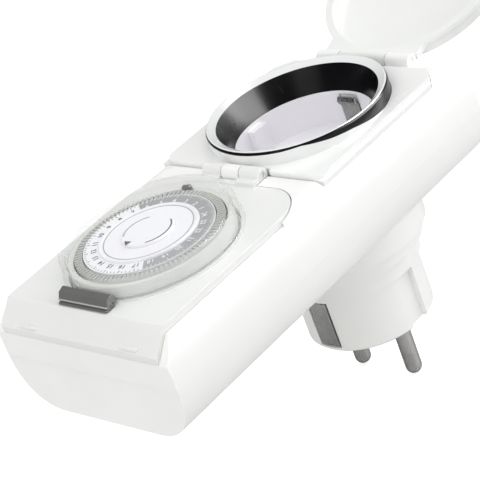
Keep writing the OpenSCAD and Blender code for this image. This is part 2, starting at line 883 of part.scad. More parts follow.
module movement_screws() {
    color("silver") at_dial() both_sides() for (side = [-1, 1])
        translate([post_x, side * post_y, 0]) difference() {
            union() {
                rod([0, 0, plate_z - 1.2], movement_head_r, 1.2);
                rod([0, 0, plate_z - tiny], movement_screw_r, 4);
            }
            translate([0, 0, plate_z - 1.2]) cube([2.4, 0.5, 1], center = true);
        }
}

module dial_arbor() {
    color("silver") at_dial()
        rod([0, 0, bezel_floor_under], arbor_r, top_z + 2 - bezel_floor_under);
}

module idler_arbor() {
    color("silver")
        rod([0, idler_y, plate_z], idler_arbor_r, gear_z + gear_h + 0.4 - plate_z);
}

module idler_wheel() {
    color("ivory") translate([0, idler_y, 0]) difference() {
        union() {
            translate([0, 0, idler_wheel_z]) gear(idler_teeth, idler_wheel_t);
            rod([0, 0, idler_wheel_z], idler_shaft_r, gear_z - idler_wheel_z + tiny);
            translate([0, 0, gear_z - 0.2]) gear(pinion_teeth, gear_h + 0.8);
        }
        rod([0, 0, idler_wheel_z - over], idler_arbor_r + run_gap, top_z - idler_wheel_z);
    }
}

module motor_pinion() {
    color("gold") translate([0, motor_y, 0]) {
        translate([0, 0, idler_wheel_z - 0.3]) gear(pinion_teeth, idler_wheel_t + 0.6);
        rod([0, 0, plate_z - 1.5], motor_shaft_r, idler_wheel_z - plate_z + 1.5);
    }
}

module motor() {
    motor_z0 = inner_floor_z + 0.4;
    color("silver") translate([0, motor_y, 0]) difference() {
        union() {
            rod([0, 0, motor_z0], motor_r, plate_z - motor_z0);
            rod([0, 0, motor_z0 + 4], motor_r + 0.5, 1);
        }
        rod([0, 0, plate_z - 2], motor_shaft_r + run_gap, 3);
    }
}

lead_r = 0.6;

module lead(x, end_x, end_y, z) {
    start_y = motor_y + motor_r - 0.7;
    translate([x, start_y, z]) rotate([-90, 0, 0])
        cylinder(r = lead_r, h = end_y - start_y);
    translate([x, end_y, z]) sphere(r = lead_r);
    rod_x(min(x, end_x), max(x, end_x), end_y, z, lead_r);
}

module motor_leads() {
    z = inner_floor_z + 3.2;
    tail = 3;
    color("royalblue") {
        lead(-5, -pin_pitch / 2, -contact_r - tail, z);
        translate([-pin_pitch / 2, -contact_r - tail, z]) rotate([-90, 0, 0])
            cylinder(r = lead_r, h = tail - seat_gap);
        lead(5, run_x, -contact_r - 6, run_z1 + lead_r);
    }
}

module dial_disc() {
    color([0.93, 0.93, 0.96]) at_dial() difference() {
        union() {
            rod([0, 0, dial_face_z - dial_plate_t], dial_r, dial_plate_t);
            rod([0, 0, dial_face_z - tiny], dial_inner_r, dial_step);
            pipe(dial_r, dial_r - rim_wall, web_z, dial_face_z - dial_plate_t + tiny);
            rod([0, 0, web_z], dial_r - tiny, 1);
            rod([0, 0, gear_z], gear_module * dial_teeth / 2 - 1, web_z - gear_z + tiny);
            translate([0, 0, gear_z]) gear(dial_teeth, gear_h);
            rod([0, 0, bezel_floor_z + 0.3], hub_r, dial_face_z - bezel_floor_z - 0.5);
            pipe(tappet_out_r - 0.1, dial_r - tiny, carrier_z, carrier_z + carrier_h);
        }
        rod([0, 0, gear_z - over], arbor_r + run_gap, top_z + 2.2 - gear_z + over);
        rod([0, 0, top_z + 2.4], knob_stem_r + seat_gap, 5);
        for (k = [0 : tappet_count - 1]) rotate([0, 0, k * tappet_pitch])
            translate([tappet_in_r - run_gap, -tappet_w / 2 - run_gap, carrier_z - over])
                cube([3, tappet_w + 2 * run_gap, carrier_h + 2 * over]);
    }
}

carrier_z = top_z - 1.6;
carrier_h = 2.4;
knob_stem_r = 2.2;
knob_r = 7.2;
knob_cap_t = 0.7;

module dial_knob() {
    z = dial_face_z + dial_step;
    color("white") at_dial() {
        rod([0, 0, top_z + 2.6], knob_stem_r, z - top_z - 2.6);
        rotate_extrude() polygon([
            [0, z - tiny], [knob_r, z - tiny], [knob_r, z + knob_cap_t - 0.3],
            [knob_r - 0.3, z + knob_cap_t], [0, z + knob_cap_t]
        ]);
    }
}

module tappet(k) {
    at_dial() rotate([0, 0, k * tappet_pitch])
        translate([tappet_in_r, -tappet_w / 2, tappet_bottom])
            cube([tappet_out_r - tappet_in_r, tappet_w, tappet_h]);
}

module moving_tappet(n) {
    color("gray") tappet(moving_first + n - 1);
}

module tappet_ring() {
    color("darkgray") for (k = [0 : tappet_count - 1])
        if (k < moving_first || k >= moving_first + moving_count) tappet(k);
}

// ---------- switch ----------

module microswitch_body() {
    z0 = switch_top_z - switch_h;
    color("darkslategray") difference() {
        union() {
            box([-switch_half_x, switch_near_y, z0],
                [switch_half_x, switch_near_y + switch_depth, switch_top_z]);
            both_sides() {
                box([lever_half_w + 0.4, switch_near_y, switch_top_z - tiny],
                    [lever_half_w + 1.8, lever_y + 1.2, lever_z]);
                rod_x(lever_half_w + 0.4, lever_half_w + 1.8, lever_y, lever_z, lever_barrel_r);
                box([switch_half_x - tiny, switch_tab_y + strip_t, run_z0],
                    [switch_half_x + 3, switch_tab_y + 2 * strip_t, run_z1]);
                box([switch_half_x - 2, switch_tab_y - 1, run_z0 - 0.6],
                    [switch_half_x, switch_tab_y + 3, z0 + tiny]);
            }
        }
        rod([0, plunger_y, switch_top_z - 2.6], plunger_r + run_gap, 3);
        rod_x(-switch_half_x, switch_half_x, lever_y, lever_z, lever_pin_r + seat_gap);
    }
}

module lever_pivot_pin() {
    color("silver")
        rod_x(-lever_half_w - 1.8, lever_half_w + 1.8, lever_y, lever_z, lever_pin_r);
}

lever_arm_z = lever_z - lever_t;

module switch_lever() {
    tip_y = dial_y - lever_tip_r;
    color("gray") difference() {
        union() {
            rod_x(-lever_half_w, lever_half_w, lever_y, lever_z, lever_barrel_r);
            box([-lever_half_w, lever_y, lever_arm_z + 0.3],
                [lever_half_w, tip_y + 0.9, lever_arm_z + 0.3 + lever_t]);
            along_x(-1.4, 1.4) polygon([
                [tip_y - 0.9, lever_arm_z + 0.4],
                [tip_y + 0.9, lever_arm_z + 0.4],
                [tip_y + 0.9, tappet_bottom - 1.2],
                [tip_y + 0.4, tappet_bottom - 0.2],
                [tip_y - 0.4, tappet_bottom - 0.2],
                [tip_y - 0.9, tappet_bottom - 1.2]
            ]);
        }
        rod_x(-lever_half_w - over, lever_half_w + over, lever_y, lever_z, lever_pin_r + run_gap);
    }
}

module switch_plunger() {
    foot_z = switch_top_z - 1.6;
    dome_z = lever_arm_z + 0.3 - run_gap - plunger_r;
    color("crimson") {
        rod([0, plunger_y, foot_z], plunger_r, dome_z - foot_z);
        translate([0, plunger_y, dome_z]) sphere(r = plunger_r);
    }
}

// ---------- lid over the dial ----------

seal_in_r = bezel_r + 0.9;
seal_out_r = seal_in_r + 1.4;
seal_depth = 0.6;
window_hole_r = dome_r - 1;
latch_window_x = latch_half_w - latch_wall + 0.9;

module timer_seal() {
    color("dimgray") at_dial()
        pipe(seal_out_r, seal_in_r, deck_z - seal_depth, deck_z + 0.05);
}

module lid_plate_outline() {
    polygon([
        [near_y, lid_under - slope_drop],
        [near_y, top_z - slope_drop],
        [nose_far_y, top_z],
        [timer_lid_far_y, top_z],
        [timer_lid_far_y, lid_under],
        [nose_far_y, lid_under]
    ]);
}

module timer_lid() {
    knuckle_in = dial_tongue_half_w / 3;
    color([0.9, 0.92, 0.9, 0.6]) difference() {
        union() {
            intersection() {
                along_x(-body_w, body_w) lid_plate_outline();
                lid_plan(0);
            }
            both_sides() {
                box([knuckle_in, timer_lid_far_y - 2 * free_gap, lid_under],
                    [dial_tongue_half_w, timer_hinge_y, hinge_z]);
                rod_x(knuckle_in, dial_tongue_half_w, timer_hinge_y, hinge_z, barrel_r);
                latch_lug();
            }
            box([-knuckle_in - tiny, timer_lid_far_y - 2 * free_gap, lid_under],
                [knuckle_in + tiny, timer_hinge_y - barrel_r - free_gap, top_z + 0.4]);
        }
        at_dial() rod([0, 0, lid_under - over], window_hole_r, lid_t + 2 * over);
        rod_x(-dial_tongue_half_w - over, dial_tongue_half_w + over, timer_hinge_y, hinge_z,
              hinge_pin_r + run_gap);
        rod_x(-latch_half_w, latch_half_w, latch_pivot_y, latch_pivot_z, latch_pin_r + seat_gap);
        both_sides() box([latch_leg_x0 - free_gap, latch_near_y - 0.1, lid_under - slope_drop],
                         [latch_window_x, latch_hook_y + free_gap, top_z + over]);
    }
}

module latch_lug() {
    x0 = latch_leg_x0 - 2.2;
    x1 = latch_leg_x0 - 0.8;
    rod_x(x0, x1, latch_pivot_y, latch_pivot_z, latch_lug_r);
    box([x0, latch_pivot_y - latch_lug_r, top_z - tiny],
        [x1, latch_pivot_y + 0.9 * latch_lug_r, latch_pivot_z]);
}

module timer_window() {
    rim = 0.6;
    pane = 0.8;
    flat_y = latch_far_y + 0.35;
    color([0.85, 0.9, 0.92, 0.4]) difference() {
        at_dial() rotate_extrude() polygon([
            [dome_in_r, top_z],
            [dome_r + 0.2, top_z],
            [dome_r + 0.2, top_z + 1.1],
            [dome_r - 0.1, top_z + 1.3],
            [dome_r - 0.5, top_z + dome_h - 0.5],
            [dome_r - 1.0, top_z + dome_h],
            [dome_r - 1.6, top_z + dome_h],
            [dome_r - 2.2, top_z + dome_h - rim],
            [0, top_z + dome_h - rim],
            [0, top_z + dome_h - rim - pane],
            [dome_in_r - 0.5, top_z + dome_h - rim - pane],
            [dome_in_r, top_z + dome_h - rim - pane - 0.5]
        ]);
        // flat behind the latch
        box([-latch_half_w - free_gap, near_y, top_z - over],
            [latch_half_w + free_gap, flat_y, latch_top + free_gap]);
    }
}

module timer_hinge_pin() {
    color("silver")
        rod_x(-dial_tongue_half_w + 0.2, dial_tongue_half_w - 0.2, timer_hinge_y, hinge_z,
              hinge_pin_r);
}

module latch_outline() {
    polygon([
        [latch_far_y, top_z + 0.7],
        [latch_far_y, latch_top - latch_round],
        [latch_far_y - latch_round / 3, latch_top - latch_round / 3],
        [latch_far_y - latch_round, latch_top],
        [latch_near_y + 0.85, latch_top - 0.6],
        [latch_near_y, latch_crease_z],
        [latch_near_y, top_z + free_gap],
        [latch_pivot_y, top_z + free_gap]
    ]);
}

module latch_hollow() {
    wall_in = 0.6;
    polygon([
        [latch_far_y - wall_in, top_z - over],
        [latch_far_y - wall_in, latch_top - latch_round - 0.2],
        [latch_far_y - latch_round - 0.1, latch_top - 0.7],
        [latch_near_y + 1.17, latch_top - 1.28],
        [latch_near_y + wall_in, latch_crease_z + 0.05],
        [latch_near_y + wall_in, top_z - over]
    ]);
}

module latch_legs() {
    leg_top = latch_pivot_z + 0.4;
    leg_t = 0.9;
    both_sides() along_x(latch_leg_x0, latch_leg_x1) polygon([
        [latch_hook_y - 2 * leg_t, leg_top],
        [latch_hook_y - 2 * leg_t, top_z - 6.2],
        [latch_hook_y - 0.2, top_z - 6.2],
        [latch_hook_y, top_z - 5.7],
        [latch_hook_y - leg_t, top_z - 4.8],
        [latch_hook_y - leg_t, leg_top]
    ]);
}

module latch() {
    color([0.36, 0.36, 0.35]) difference() {
        union() {
            difference() {
                along_x(-latch_half_w, latch_half_w) latch_outline();
                along_x(latch_wall - latch_half_w, latch_half_w - latch_wall) latch_hollow();
            }
            latch_legs();
        }
        rod_x(-latch_half_w - over, latch_half_w + over, latch_pivot_y, latch_pivot_z,
              latch_pin_r + run_gap);
    }
}

module latch_pin() {
    color("silver")
        rod_x(-latch_half_w + 0.1, latch_half_w - 0.1, latch_pivot_y, latch_pivot_z, latch_pin_r);
}

module latch_spring() {
    wire = 0.15;
    coil_r = latch_pin_r + wire + run_gap;
    turns = 5;
    color("silver") for (k = [0 : turns - 1])
        translate([(k - turns / 2) * wire * 1.9, latch_pivot_y, latch_pivot_z])
            rotate([0, 90, 0]) rotate_extrude() translate([coil_r, 0]) circle(r = wire, $fn = 24);
}

// ---------- lid over the socket ----------

cap_r = collar_r + 2.4;
cap_in_r = collar_r + 0.6;
cap_h = 8;
cap_t = 1.4;
disc_r = collar_r + 2.9;
lid_gap = 0.2;

module closed_socket_lid() {
    knuckle = tongue_half_w / 2;
    z0 = surround_lip_z + lid_gap;
    cap_z = top_z + cap_h;
    difference() {
        union() {
            rotate_extrude() polygon([
                [0, z0], [disc_r, z0], [disc_r, z0 + 1.2], [cap_r, z0 + 1.8],
                [cap_r - 0.5, cap_z - 1.6], [cap_r - 2.6, cap_z], [0, cap_z]
            ]);
            box([-tongue_half_w, cap_r * 0.7, z0],
                [tongue_half_w, socket_hinge_y - barrel_r - 0.4, z0 + 1.8]);
            box([-knuckle, cap_r * 0.7, z0], [knuckle, socket_hinge_y, hinge_z + barrel_r - 0.1]);
            rod_x(-knuckle, knuckle, socket_hinge_y, hinge_z, barrel_r);
        }
        rotate_extrude() polygon([
            [0, z0 - over], [cap_in_r, z0 - over], [cap_in_r, top_z + collar_h],
            [cap_in_r - 0.9, top_z + collar_h + 0.8],
            [cap_in_r - 2.2, cap_z - cap_t], [0, cap_z - cap_t]
        ]);
        rod_x(-knuckle - over, knuckle + over, socket_hinge_y, hinge_z, hinge_pin_r + run_gap);
        // notch over the barrel of the dial lid
        box([-dial_tongue_half_w - 0.6, -disc_r - over, z0 - over],
            [dial_tongue_half_w + 0.6, dial_barrel_far_y + 0.3, z0 + 1.8]);
    }
}

module socket_lid() {
    color([0.9, 0.92, 0.9, 0.6])
        translate([0, socket_hinge_y, hinge_z]) rotate([-socket_lid_open, 0, 0])
            translate([0, -socket_hinge_y, -hinge_z]) closed_socket_lid();
}

module socket_hinge_pin() {
    color("silver")
        rod_x(-tongue_half_w + 0.2, tongue_half_w - 0.2, socket_hinge_y, hinge_z, hinge_pin_r);
}

lower_housing();
plug_collar();
upper_housing();
housing_gasket();
housing_screws();
plug_body();
line_pin();
neutral_pin();
plug_earth_clip_near();
plug_earth_clip_far();
earth_strap();
line_contact();
neutral_contact();
line_busbar();
neutral_busbar();
switched_busbar();
socket_insert();
socket_collar();
socket_surround();
socket_earth_clip();
microswitch_body();
switch_plunger();
switch_lever();
lever_pivot_pin();
motor();
motor_pinion();
motor_leads();
movement_plate();
movement_screws();
movement_bezel();
dial_arbor();
idler_arbor();
idler_wheel();
dial_disc();
dial_knob();
tappet_ring();
moving_tappet(1);  // tappet_1
moving_tappet(2);  // tappet_2
moving_tappet(3);  // tappet_3
moving_tappet(4);  // tappet_4
moving_tappet(5);  // tappet_5
moving_tappet(6);  // tappet_6
moving_tappet(7);  // tappet_7
moving_tappet(8);  // tappet_8
override_slider();
timer_seal();
timer_lid();
timer_window();
timer_hinge_pin();
latch();
latch_pin();
latch_spring();
socket_lid();
socket_hinge_pin();
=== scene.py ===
"""Dressed model of a two-gang plug-in timer switch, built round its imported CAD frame.

Lengths are metres and +Z is up. The origin is the centre of the plug's front face,
between its pins, and +Y runs from the dial end to the outlet's hinge end.
"""

from __future__ import annotations

import json
import logging
import math
from dataclasses import dataclass
from enum import Enum
from functools import cached_property
from typing import Iterable, Optional, Sequence

import bmesh
import bpy
from mathutils import Matrix, Vector

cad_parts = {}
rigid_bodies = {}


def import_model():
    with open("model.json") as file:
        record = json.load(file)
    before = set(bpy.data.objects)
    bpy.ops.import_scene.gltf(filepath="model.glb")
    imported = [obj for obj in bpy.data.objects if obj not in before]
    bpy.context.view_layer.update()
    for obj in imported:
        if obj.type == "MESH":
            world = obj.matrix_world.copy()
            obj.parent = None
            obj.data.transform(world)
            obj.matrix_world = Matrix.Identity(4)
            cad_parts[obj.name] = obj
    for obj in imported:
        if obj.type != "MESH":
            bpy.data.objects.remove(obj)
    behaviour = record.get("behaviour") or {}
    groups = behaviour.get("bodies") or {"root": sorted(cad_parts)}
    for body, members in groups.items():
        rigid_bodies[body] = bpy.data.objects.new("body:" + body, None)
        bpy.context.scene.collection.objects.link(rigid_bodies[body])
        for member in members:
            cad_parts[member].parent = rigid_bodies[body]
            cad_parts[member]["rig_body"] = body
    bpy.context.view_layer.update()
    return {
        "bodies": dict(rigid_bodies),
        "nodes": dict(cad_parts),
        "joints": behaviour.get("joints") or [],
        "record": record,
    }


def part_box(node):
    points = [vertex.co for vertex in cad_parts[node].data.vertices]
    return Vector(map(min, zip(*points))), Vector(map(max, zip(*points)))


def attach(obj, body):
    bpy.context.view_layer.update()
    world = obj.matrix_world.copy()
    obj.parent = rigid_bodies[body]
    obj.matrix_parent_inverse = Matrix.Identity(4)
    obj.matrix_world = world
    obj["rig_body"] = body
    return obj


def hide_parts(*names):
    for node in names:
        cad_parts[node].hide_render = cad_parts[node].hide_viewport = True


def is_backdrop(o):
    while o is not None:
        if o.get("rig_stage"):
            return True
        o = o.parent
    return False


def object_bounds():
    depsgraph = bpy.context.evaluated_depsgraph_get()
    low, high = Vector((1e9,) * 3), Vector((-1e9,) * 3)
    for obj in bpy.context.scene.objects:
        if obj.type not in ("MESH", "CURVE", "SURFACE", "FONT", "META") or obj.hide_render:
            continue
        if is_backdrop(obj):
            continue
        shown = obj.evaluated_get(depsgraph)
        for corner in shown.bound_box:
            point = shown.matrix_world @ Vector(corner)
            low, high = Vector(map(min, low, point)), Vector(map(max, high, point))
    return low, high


log = logging.getLogger("timer_switch")

MM = 0.001
FULL_TURN_DEG = 360.0
# vertices closer than these are one: in a piece made here, and in a CAD node's triangles
WELD = 1e-7
CAD_WELD = 2e-6
# CAD triangles that meet flatter than this are one face
FLAT_DEG = 0.4
# faces across the rounding of a large piece's edge
FINE = 3

Colour = tuple[float, float, float]
Point2 = tuple[float, float]


class Body(Enum):
    """Bodies that the scene's own pieces ride on."""

    HOUSING = "housing"
    TIMER_LID = "timer_lid"
    LATCH = "latch"
    DIAL = "dial"


class Slot(Enum):
    """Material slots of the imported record."""

    HOUSING_WHITE = "housing_white"
    LID = "lid_plastic"
    WINDOW = "window_clear"
    COLLAR = "collar_black"
    LATCH = "latch_grey"
    SOCKET = "socket_grey"
    BEZEL = "bezel_grey"
    DIAL = "dial_white"
    TAPPET = "tappet_grey"
    SEAL = "seal_rubber"
    SWITCH = "switch_black"
    NYLON = "nylon"
    NICKEL = "nickel"
    BRASS = "brass"
    COPPER = "copper"
    ZINC = "zinc_steel"
    MOTOR = "motor_steel"
    WIRE = "wire_blue"


# ---------------------------------------------------------------- shader groups


class Tree:
    """A thin typed wrapper round a node tree."""

    def __init__(self, tree: bpy.types.NodeTree) -> None:
        """Keeps the tree that nodes are added to."""
        self.tree = tree

    def add(self, kind: str, **settings: object) -> bpy.types.Node:
        """Adds a node and sets its plain attributes.

        Args:
            kind: Blender's node type name.
            settings: attribute values of the node.

        Returns:
            The new node.
        """
        node = self.tree.nodes.new(kind)
        for name, value in settings.items():
            setattr(node, name, value)
        return node

    def find(self, kind: str) -> bpy.types.Node:
        """The tree's first node of a type."""
        return next(node for node in self.tree.nodes if node.type == kind)

    def link(self, source: bpy.types.NodeSocket, target: bpy.types.NodeSocket) -> None:
        """Joins two sockets."""
        self.tree.links.new(source, target)

    def feed(self, value: float | bpy.types.NodeSocket, target: bpy.types.NodeSocket) -> None:
        """Gives a socket a link or a plain number.

        Args:
            value: the number, or the socket to read.
            target: the input that takes it.
        """
        if isinstance(value, bpy.types.NodeSocket):
            self.link(value, target)
        else:
            target.default_value = value

    def noise(self, vector: bpy.types.NodeSocket, scale: float | bpy.types.NodeSocket,
              detail: float, rough: float = 0.5) -> bpy.types.NodeSocket:
        """Adds a noise texture.

        Args:
            vector: coordinates to read.
            scale: cells per metre, a number or a socket.
            detail: octaves.
            rough: share that each octave keeps.

        Returns:
            The noise factor's socket.
        """
        node = self.add("ShaderNodeTexNoise")
        self.feed(scale, node.inputs["Scale"])
        node.inputs["Detail"].default_value = detail
        node.inputs["Roughness"].default_value = rough
        self.link(vector, node.inputs["Vector"])
        return node.outputs["Fac"]

    def remap(self, value: bpy.types.NodeSocket, low: float, high: float, out_low: float = 0.0,
              out_high: float = 1.0) -> bpy.types.NodeSocket:
        """Maps a value's range to another, clamped.

        Args:
            value: socket to read.
            low: input that gives out_low.
            high: input that gives out_high.
            out_low: result at the range's start.
            out_high: result at the range's end.

        Returns:
            The mapped value's socket.
        """
        node = self.add("ShaderNodeMapRange")
        self.link(value, node.inputs["Value"])
        for name, number in (("From Min", low), ("From Max", high), ("To Min", out_low),
                             ("To Max", out_high)):
            node.inputs[name].default_value = number
        return node.outputs["Result"]

    def mix(self, factor: bpy.types.NodeSocket, first: Colour | bpy.types.NodeSocket,
            second: Colour) -> bpy.types.NodeSocket:
        """Mixes two colours by a factor.

        Args:
            factor: socket from 0 to 1.
            first: colour at 0, or a socket that gives it.
            second: colour at 1.

        Returns:
            The mixed colour's socket.
        """
        node = self.add("ShaderNodeMix", data_type="RGBA")
        self.link(factor, node.inputs["Factor"])
        start, end = (socket for socket in node.inputs if socket.type == "RGBA")
        if isinstance(first, bpy.types.NodeSocket):
            self.link(first, start)
        else:
            start.default_value = (*first, 1.0)
        end.default_value = (*second, 1.0)
        return next(socket for socket in node.outputs if socket.type == "RGBA")

    def math(self, operation: str, first: bpy.types.NodeSocket,
             second: float | bpy.types.NodeSocket = 0.0) -> bpy.types.NodeSocket:
        """Adds a math node.

        Args:
            operation: Blender's operation name.
            first: first operand.
            second: second operand, a number or a socket, where the operation has one.

        Returns:
            The result's socket.
        """
        node = self.add("ShaderNodeMath", operation=operation)
        self.link(first, node.inputs[0])
        self.feed(second, node.inputs[1])
        return node.outputs["Value"]

    def bump(self, height: bpy.types.NodeSocket, distance: float,
             under: Optional[bpy.types.NodeSocket] = None) -> bpy.types.NodeSocket:
        """Adds a bump node of full strength.

        Args:
            height: mask that is raised.
            distance: height of a full mask, in metres.
            under: normal that this bump lies on.

        Returns:
            The bumped normal's socket.
        """
        node = self.add("ShaderNodeBump")
        node.inputs["Distance"].default_value = distance
        node.inputs["Strength"].default_value = 1.0
        self.link(height, node.inputs["Height"])
        if under is not None:
            self.link(under, node.inputs["Normal"])
        return node.outputs["Normal"]

    def outline_mask(self, low: float, high: float) -> bpy.types.NodeSocket:
        """Adds a mask that grows towards a shape's outline, for materials only.

        Args:
            low: Layer Weight's facing where the mask starts.
            high: facing where the mask is full.

        Returns:
            The mask's socket.
        """
        weight = self.add("ShaderNodeLayerWeight")
        weight.inputs["Blend"].default_value = 0.5
        return self.remap(weight.outputs["Facing"], low, high)


def new_group(name: str, inputs: Sequence[tuple[str, str, float]],
              outputs: Sequence[str]) -> tuple[Tree, bpy.types.Node, bpy.types.Node]:
    """Makes an empty shader node group with named sockets.

    Args:
        name: the group's name.
        inputs: name, socket type and default of each input.
        outputs: names of the float outputs.

    Returns:
        The group's tree, its input node and its output node.
    """
    group = bpy.data.node_groups.new(name, "ShaderNodeTree")
    for label, kind, default in inputs:
        socket = group.interface.new_socket(label, in_out="INPUT", socket_type=kind)
        if kind == "NodeSocketFloat":
            socket.default_value = default
    for label in outputs:
        group.interface.new_socket(label, in_out="OUTPUT", socket_type="NodeSocketFloat")
    tree = Tree(group)
    return tree, tree.add("NodeGroupInput"), tree.add("NodeGroupOutput")


def moulding_group() -> bpy.types.NodeTree:
    """Moulded plastic: fine spark texture, soft flow waves and a slow change of tone.

    Returns:
        The group.
    """
    tree, given, made = new_group(
        "moulding_texture",
        [("Vector", "NodeSocketVector", 0.0), ("Grain Scale", "NodeSocketFloat", 3000.0),
         ("Flow Scale", "NodeSocketFloat", 60.0)],
        ["Grain", "Flow", "Tone"])
    vector = given.outputs["Vector"]
    grain = tree.noise(vector, given.outputs["Grain Scale"], detail=2.0, rough=0.6)
    tree.link(grain, made.inputs["Grain"])
    flow = tree.noise(vector, given.outputs["Flow Scale"], detail=3.0, rough=0.5)
    tree.link(flow, made.inputs["Flow"])
    tone = tree.noise(vector, scale=22.0, detail=4.0, rough=0.55)
    tree.link(tree.remap(tone, low=0.35, high=0.65), made.inputs["Tone"])
    return tree.tree


def handling_group() -> bpy.types.NodeTree:
    """Handling marks: faint smudges and sparse fine scratches, as masks.

    Returns:
        The group.
    """
    tree, given, made = new_group(
        "handling_marks", [("Vector", "NodeSocketVector", 0.0)], ["Smudge", "Scratch"])
    smudge = tree.noise(given.outputs["Vector"], scale=85.0, detail=5.0, rough=0.62)
    tree.link(tree.remap(smudge, low=0.5, high=0.72), made.inputs["Smudge"])
    scratch_turn = (0.3, 0.2, 0.6)
    scratch_cells = (30.0, 900.0, 260.0)
    stretch = tree.add("ShaderNodeMapping")
    stretch.inputs["Rotation"].default_value = scratch_turn
    stretch.inputs["Scale"].default_value = scratch_cells
    tree.link(given.outputs["Vector"], stretch.inputs["Vector"])
    line = tree.noise(stretch.outputs["Vector"], scale=1.0, detail=1.0)
    tree.link(tree.remap(line, low=0.71, high=0.76), made.inputs["Scratch"])
    return tree.tree


def brushing_group() -> bpy.types.NodeTree:
    """Drawn or brushed metal: streaks along one axis and slow tarnish, as masks.

    Returns:
        The group.
    """
    tree, given, made = new_group(
        "metal_brushing",
        [("Vector", "NodeSocketVector", 0.0), ("Streak", "NodeSocketFloat", 40.0),
         ("Cross", "NodeSocketFloat", 1800.0)],
        ["Streaks", "Tarnish"])
    cells = tree.add("ShaderNodeCombineXYZ")
    for axis, label in (("X", "Cross"), ("Y", "Cross"), ("Z", "Streak")):
        tree.link(given.outputs[label], cells.inputs[axis])
    stretched = tree.add("ShaderNodeVectorMath", operation="MULTIPLY")
    tree.link(given.outputs["Vector"], stretched.inputs[0])
    tree.link(cells.outputs["Vector"], stretched.inputs[1])
    streak = tree.noise(stretched.outputs["Vector"], scale=1.0, detail=3.0, rough=0.6)
    tree.link(tree.remap(streak, low=0.3, high=0.7), made.inputs["Streaks"])
    tarnish = tree.noise(given.outputs["Vector"], scale=140.0, detail=4.0, rough=0.6)
    tree.link(tree.remap(tarnish, low=0.48, high=0.7), made.inputs["Tarnish"])
    return tree.tree


# ---------------------------------------------------------------- finishes


class FinishShop:
    """Builds each material once and hands it out again."""

    def __init__(self) -> None:
        """Builds the shared shader groups."""
        self.moulding = moulding_group()
        self.handling = handling_group()
        self.brushing = brushing_group()
        self.ready: dict[str, bpy.types.Material] = {}

    def get(self, finish: Finish) -> bpy.types.Material:
        """The material of a finish, made on first use.

        Args:
            finish: the look.

        Returns:
            Its one material.
        """
        if finish.name not in self.ready:
            self.ready[finish.name] = finish.build(self)
        return self.ready[finish.name]

    def blank(self, name: str) -> tuple[bpy.types.Material, Tree, bpy.types.Node,
                                        bpy.types.NodeSocket]:
        """Makes a node material with a Principled shader.

        Args:
            name: the material's name.

        Returns:
            The material, its tree, the shader and the object coordinates' socket.
        """
        material = bpy.data.materials.new(name)
        material.use_nodes = True
        tree = Tree(material.node_tree)
        shader = tree.find("BSDF_PRINCIPLED")
        coords = tree.add("ShaderNodeTexCoord")
        return material, tree, shader, coords.outputs["Object"]

    def place(self, tree: Tree, group: bpy.types.NodeTree, vector: bpy.types.NodeSocket,
              **values: float) -> bpy.types.Node:
        """Adds a shared group to a material.

        Args:
            tree: the material's tree.
            group: the shared group.
            vector: coordinates for the group.
            values: numbers for its other inputs, with _ for a space.

        Returns:
            The group's node.
        """
        node = tree.add("ShaderNodeGroup", node_tree=group)
        tree.link(vector, node.inputs["Vector"])
        for label, number in values.items():
            node.inputs[label.replace("_", " ")].default_value = number
        return node


@dataclass(frozen=True)
class Plastic:
    """Moulded plastic or rubber with spark texture, flow waves and handling marks.

    Roughness varies by swing over the surface. A smudge adds smudge to it and takes the
    colour smudge_tone of the way to shade. Depths and reach are metres.
    """

    name: str
    base: Colour
    shade: Colour
    roughness: float = 0.38
    swing: float = 0.08
    grain_scale: float = 3200.0
    grain_depth: float = 0.00001
    flow_depth: float = 0.00004
    smudge: float = 0.06
    smudge_tone: float = 0.12
    coat: float = 0.0
    coat_roughness: float = 0.12
    transmission: float = 0.0
    subsurface: float = 0.0
    subsurface_reach: Colour = (0.003, 0.003, 0.0025)
    specular: float = 0.5

    def build(self, shop: FinishShop) -> bpy.types.Material:
        """Makes the material.

        Args:
            shop: holder of the shared groups.

        Returns:
            The finished material.
        """
        material, tree, shader, coords = shop.blank(self.name)
        texture = shop.place(tree, shop.moulding, coords, Grain_Scale=self.grain_scale)
        marks = shop.place(tree, shop.handling, coords)
        tone = tree.mix(texture.outputs["Tone"], self.base, self.shade)
        stain = tree.math("MULTIPLY", marks.outputs["Smudge"], self.smudge_tone)
        tree.link(tree.mix(stain, tone, self.shade), shader.inputs["Base Color"])
        low, high = self.roughness - self.swing / 2, self.roughness + self.swing / 2
        gloss = tree.remap(texture.outputs["Tone"], 0.0, 1.0, low, high)
        marked = tree.math("MULTIPLY", marks.outputs["Smudge"], self.smudge)
        scratched = tree.math("MULTIPLY", marks.outputs["Scratch"], self.swing)
        worn = tree.math("ADD", tree.math("ADD", gloss, marked), scratched)
        tree.link(worn, shader.inputs["Roughness"])
        waves = tree.bump(texture.outputs["Flow"], self.flow_depth)
        grain = tree.bump(texture.outputs["Grain"], self.grain_depth, under=waves)
        tree.link(grain, shader.inputs["Normal"])
        shader.inputs["Coat Weight"].default_value = self.coat
        shader.inputs["Coat Roughness"].default_value = self.coat_roughness
        shader.inputs["Transmission Weight"].default_value = self.transmission
        shader.inputs["Specular IOR Level"].default_value = self.specular
        if self.subsurface:
            shader.inputs["Subsurface Weight"].default_value = self.subsurface
            shader.inputs["Subsurface Radius"].default_value = self.subsurface_reach
            shader.inputs["Subsurface Scale"].default_value = 1.0
        return material


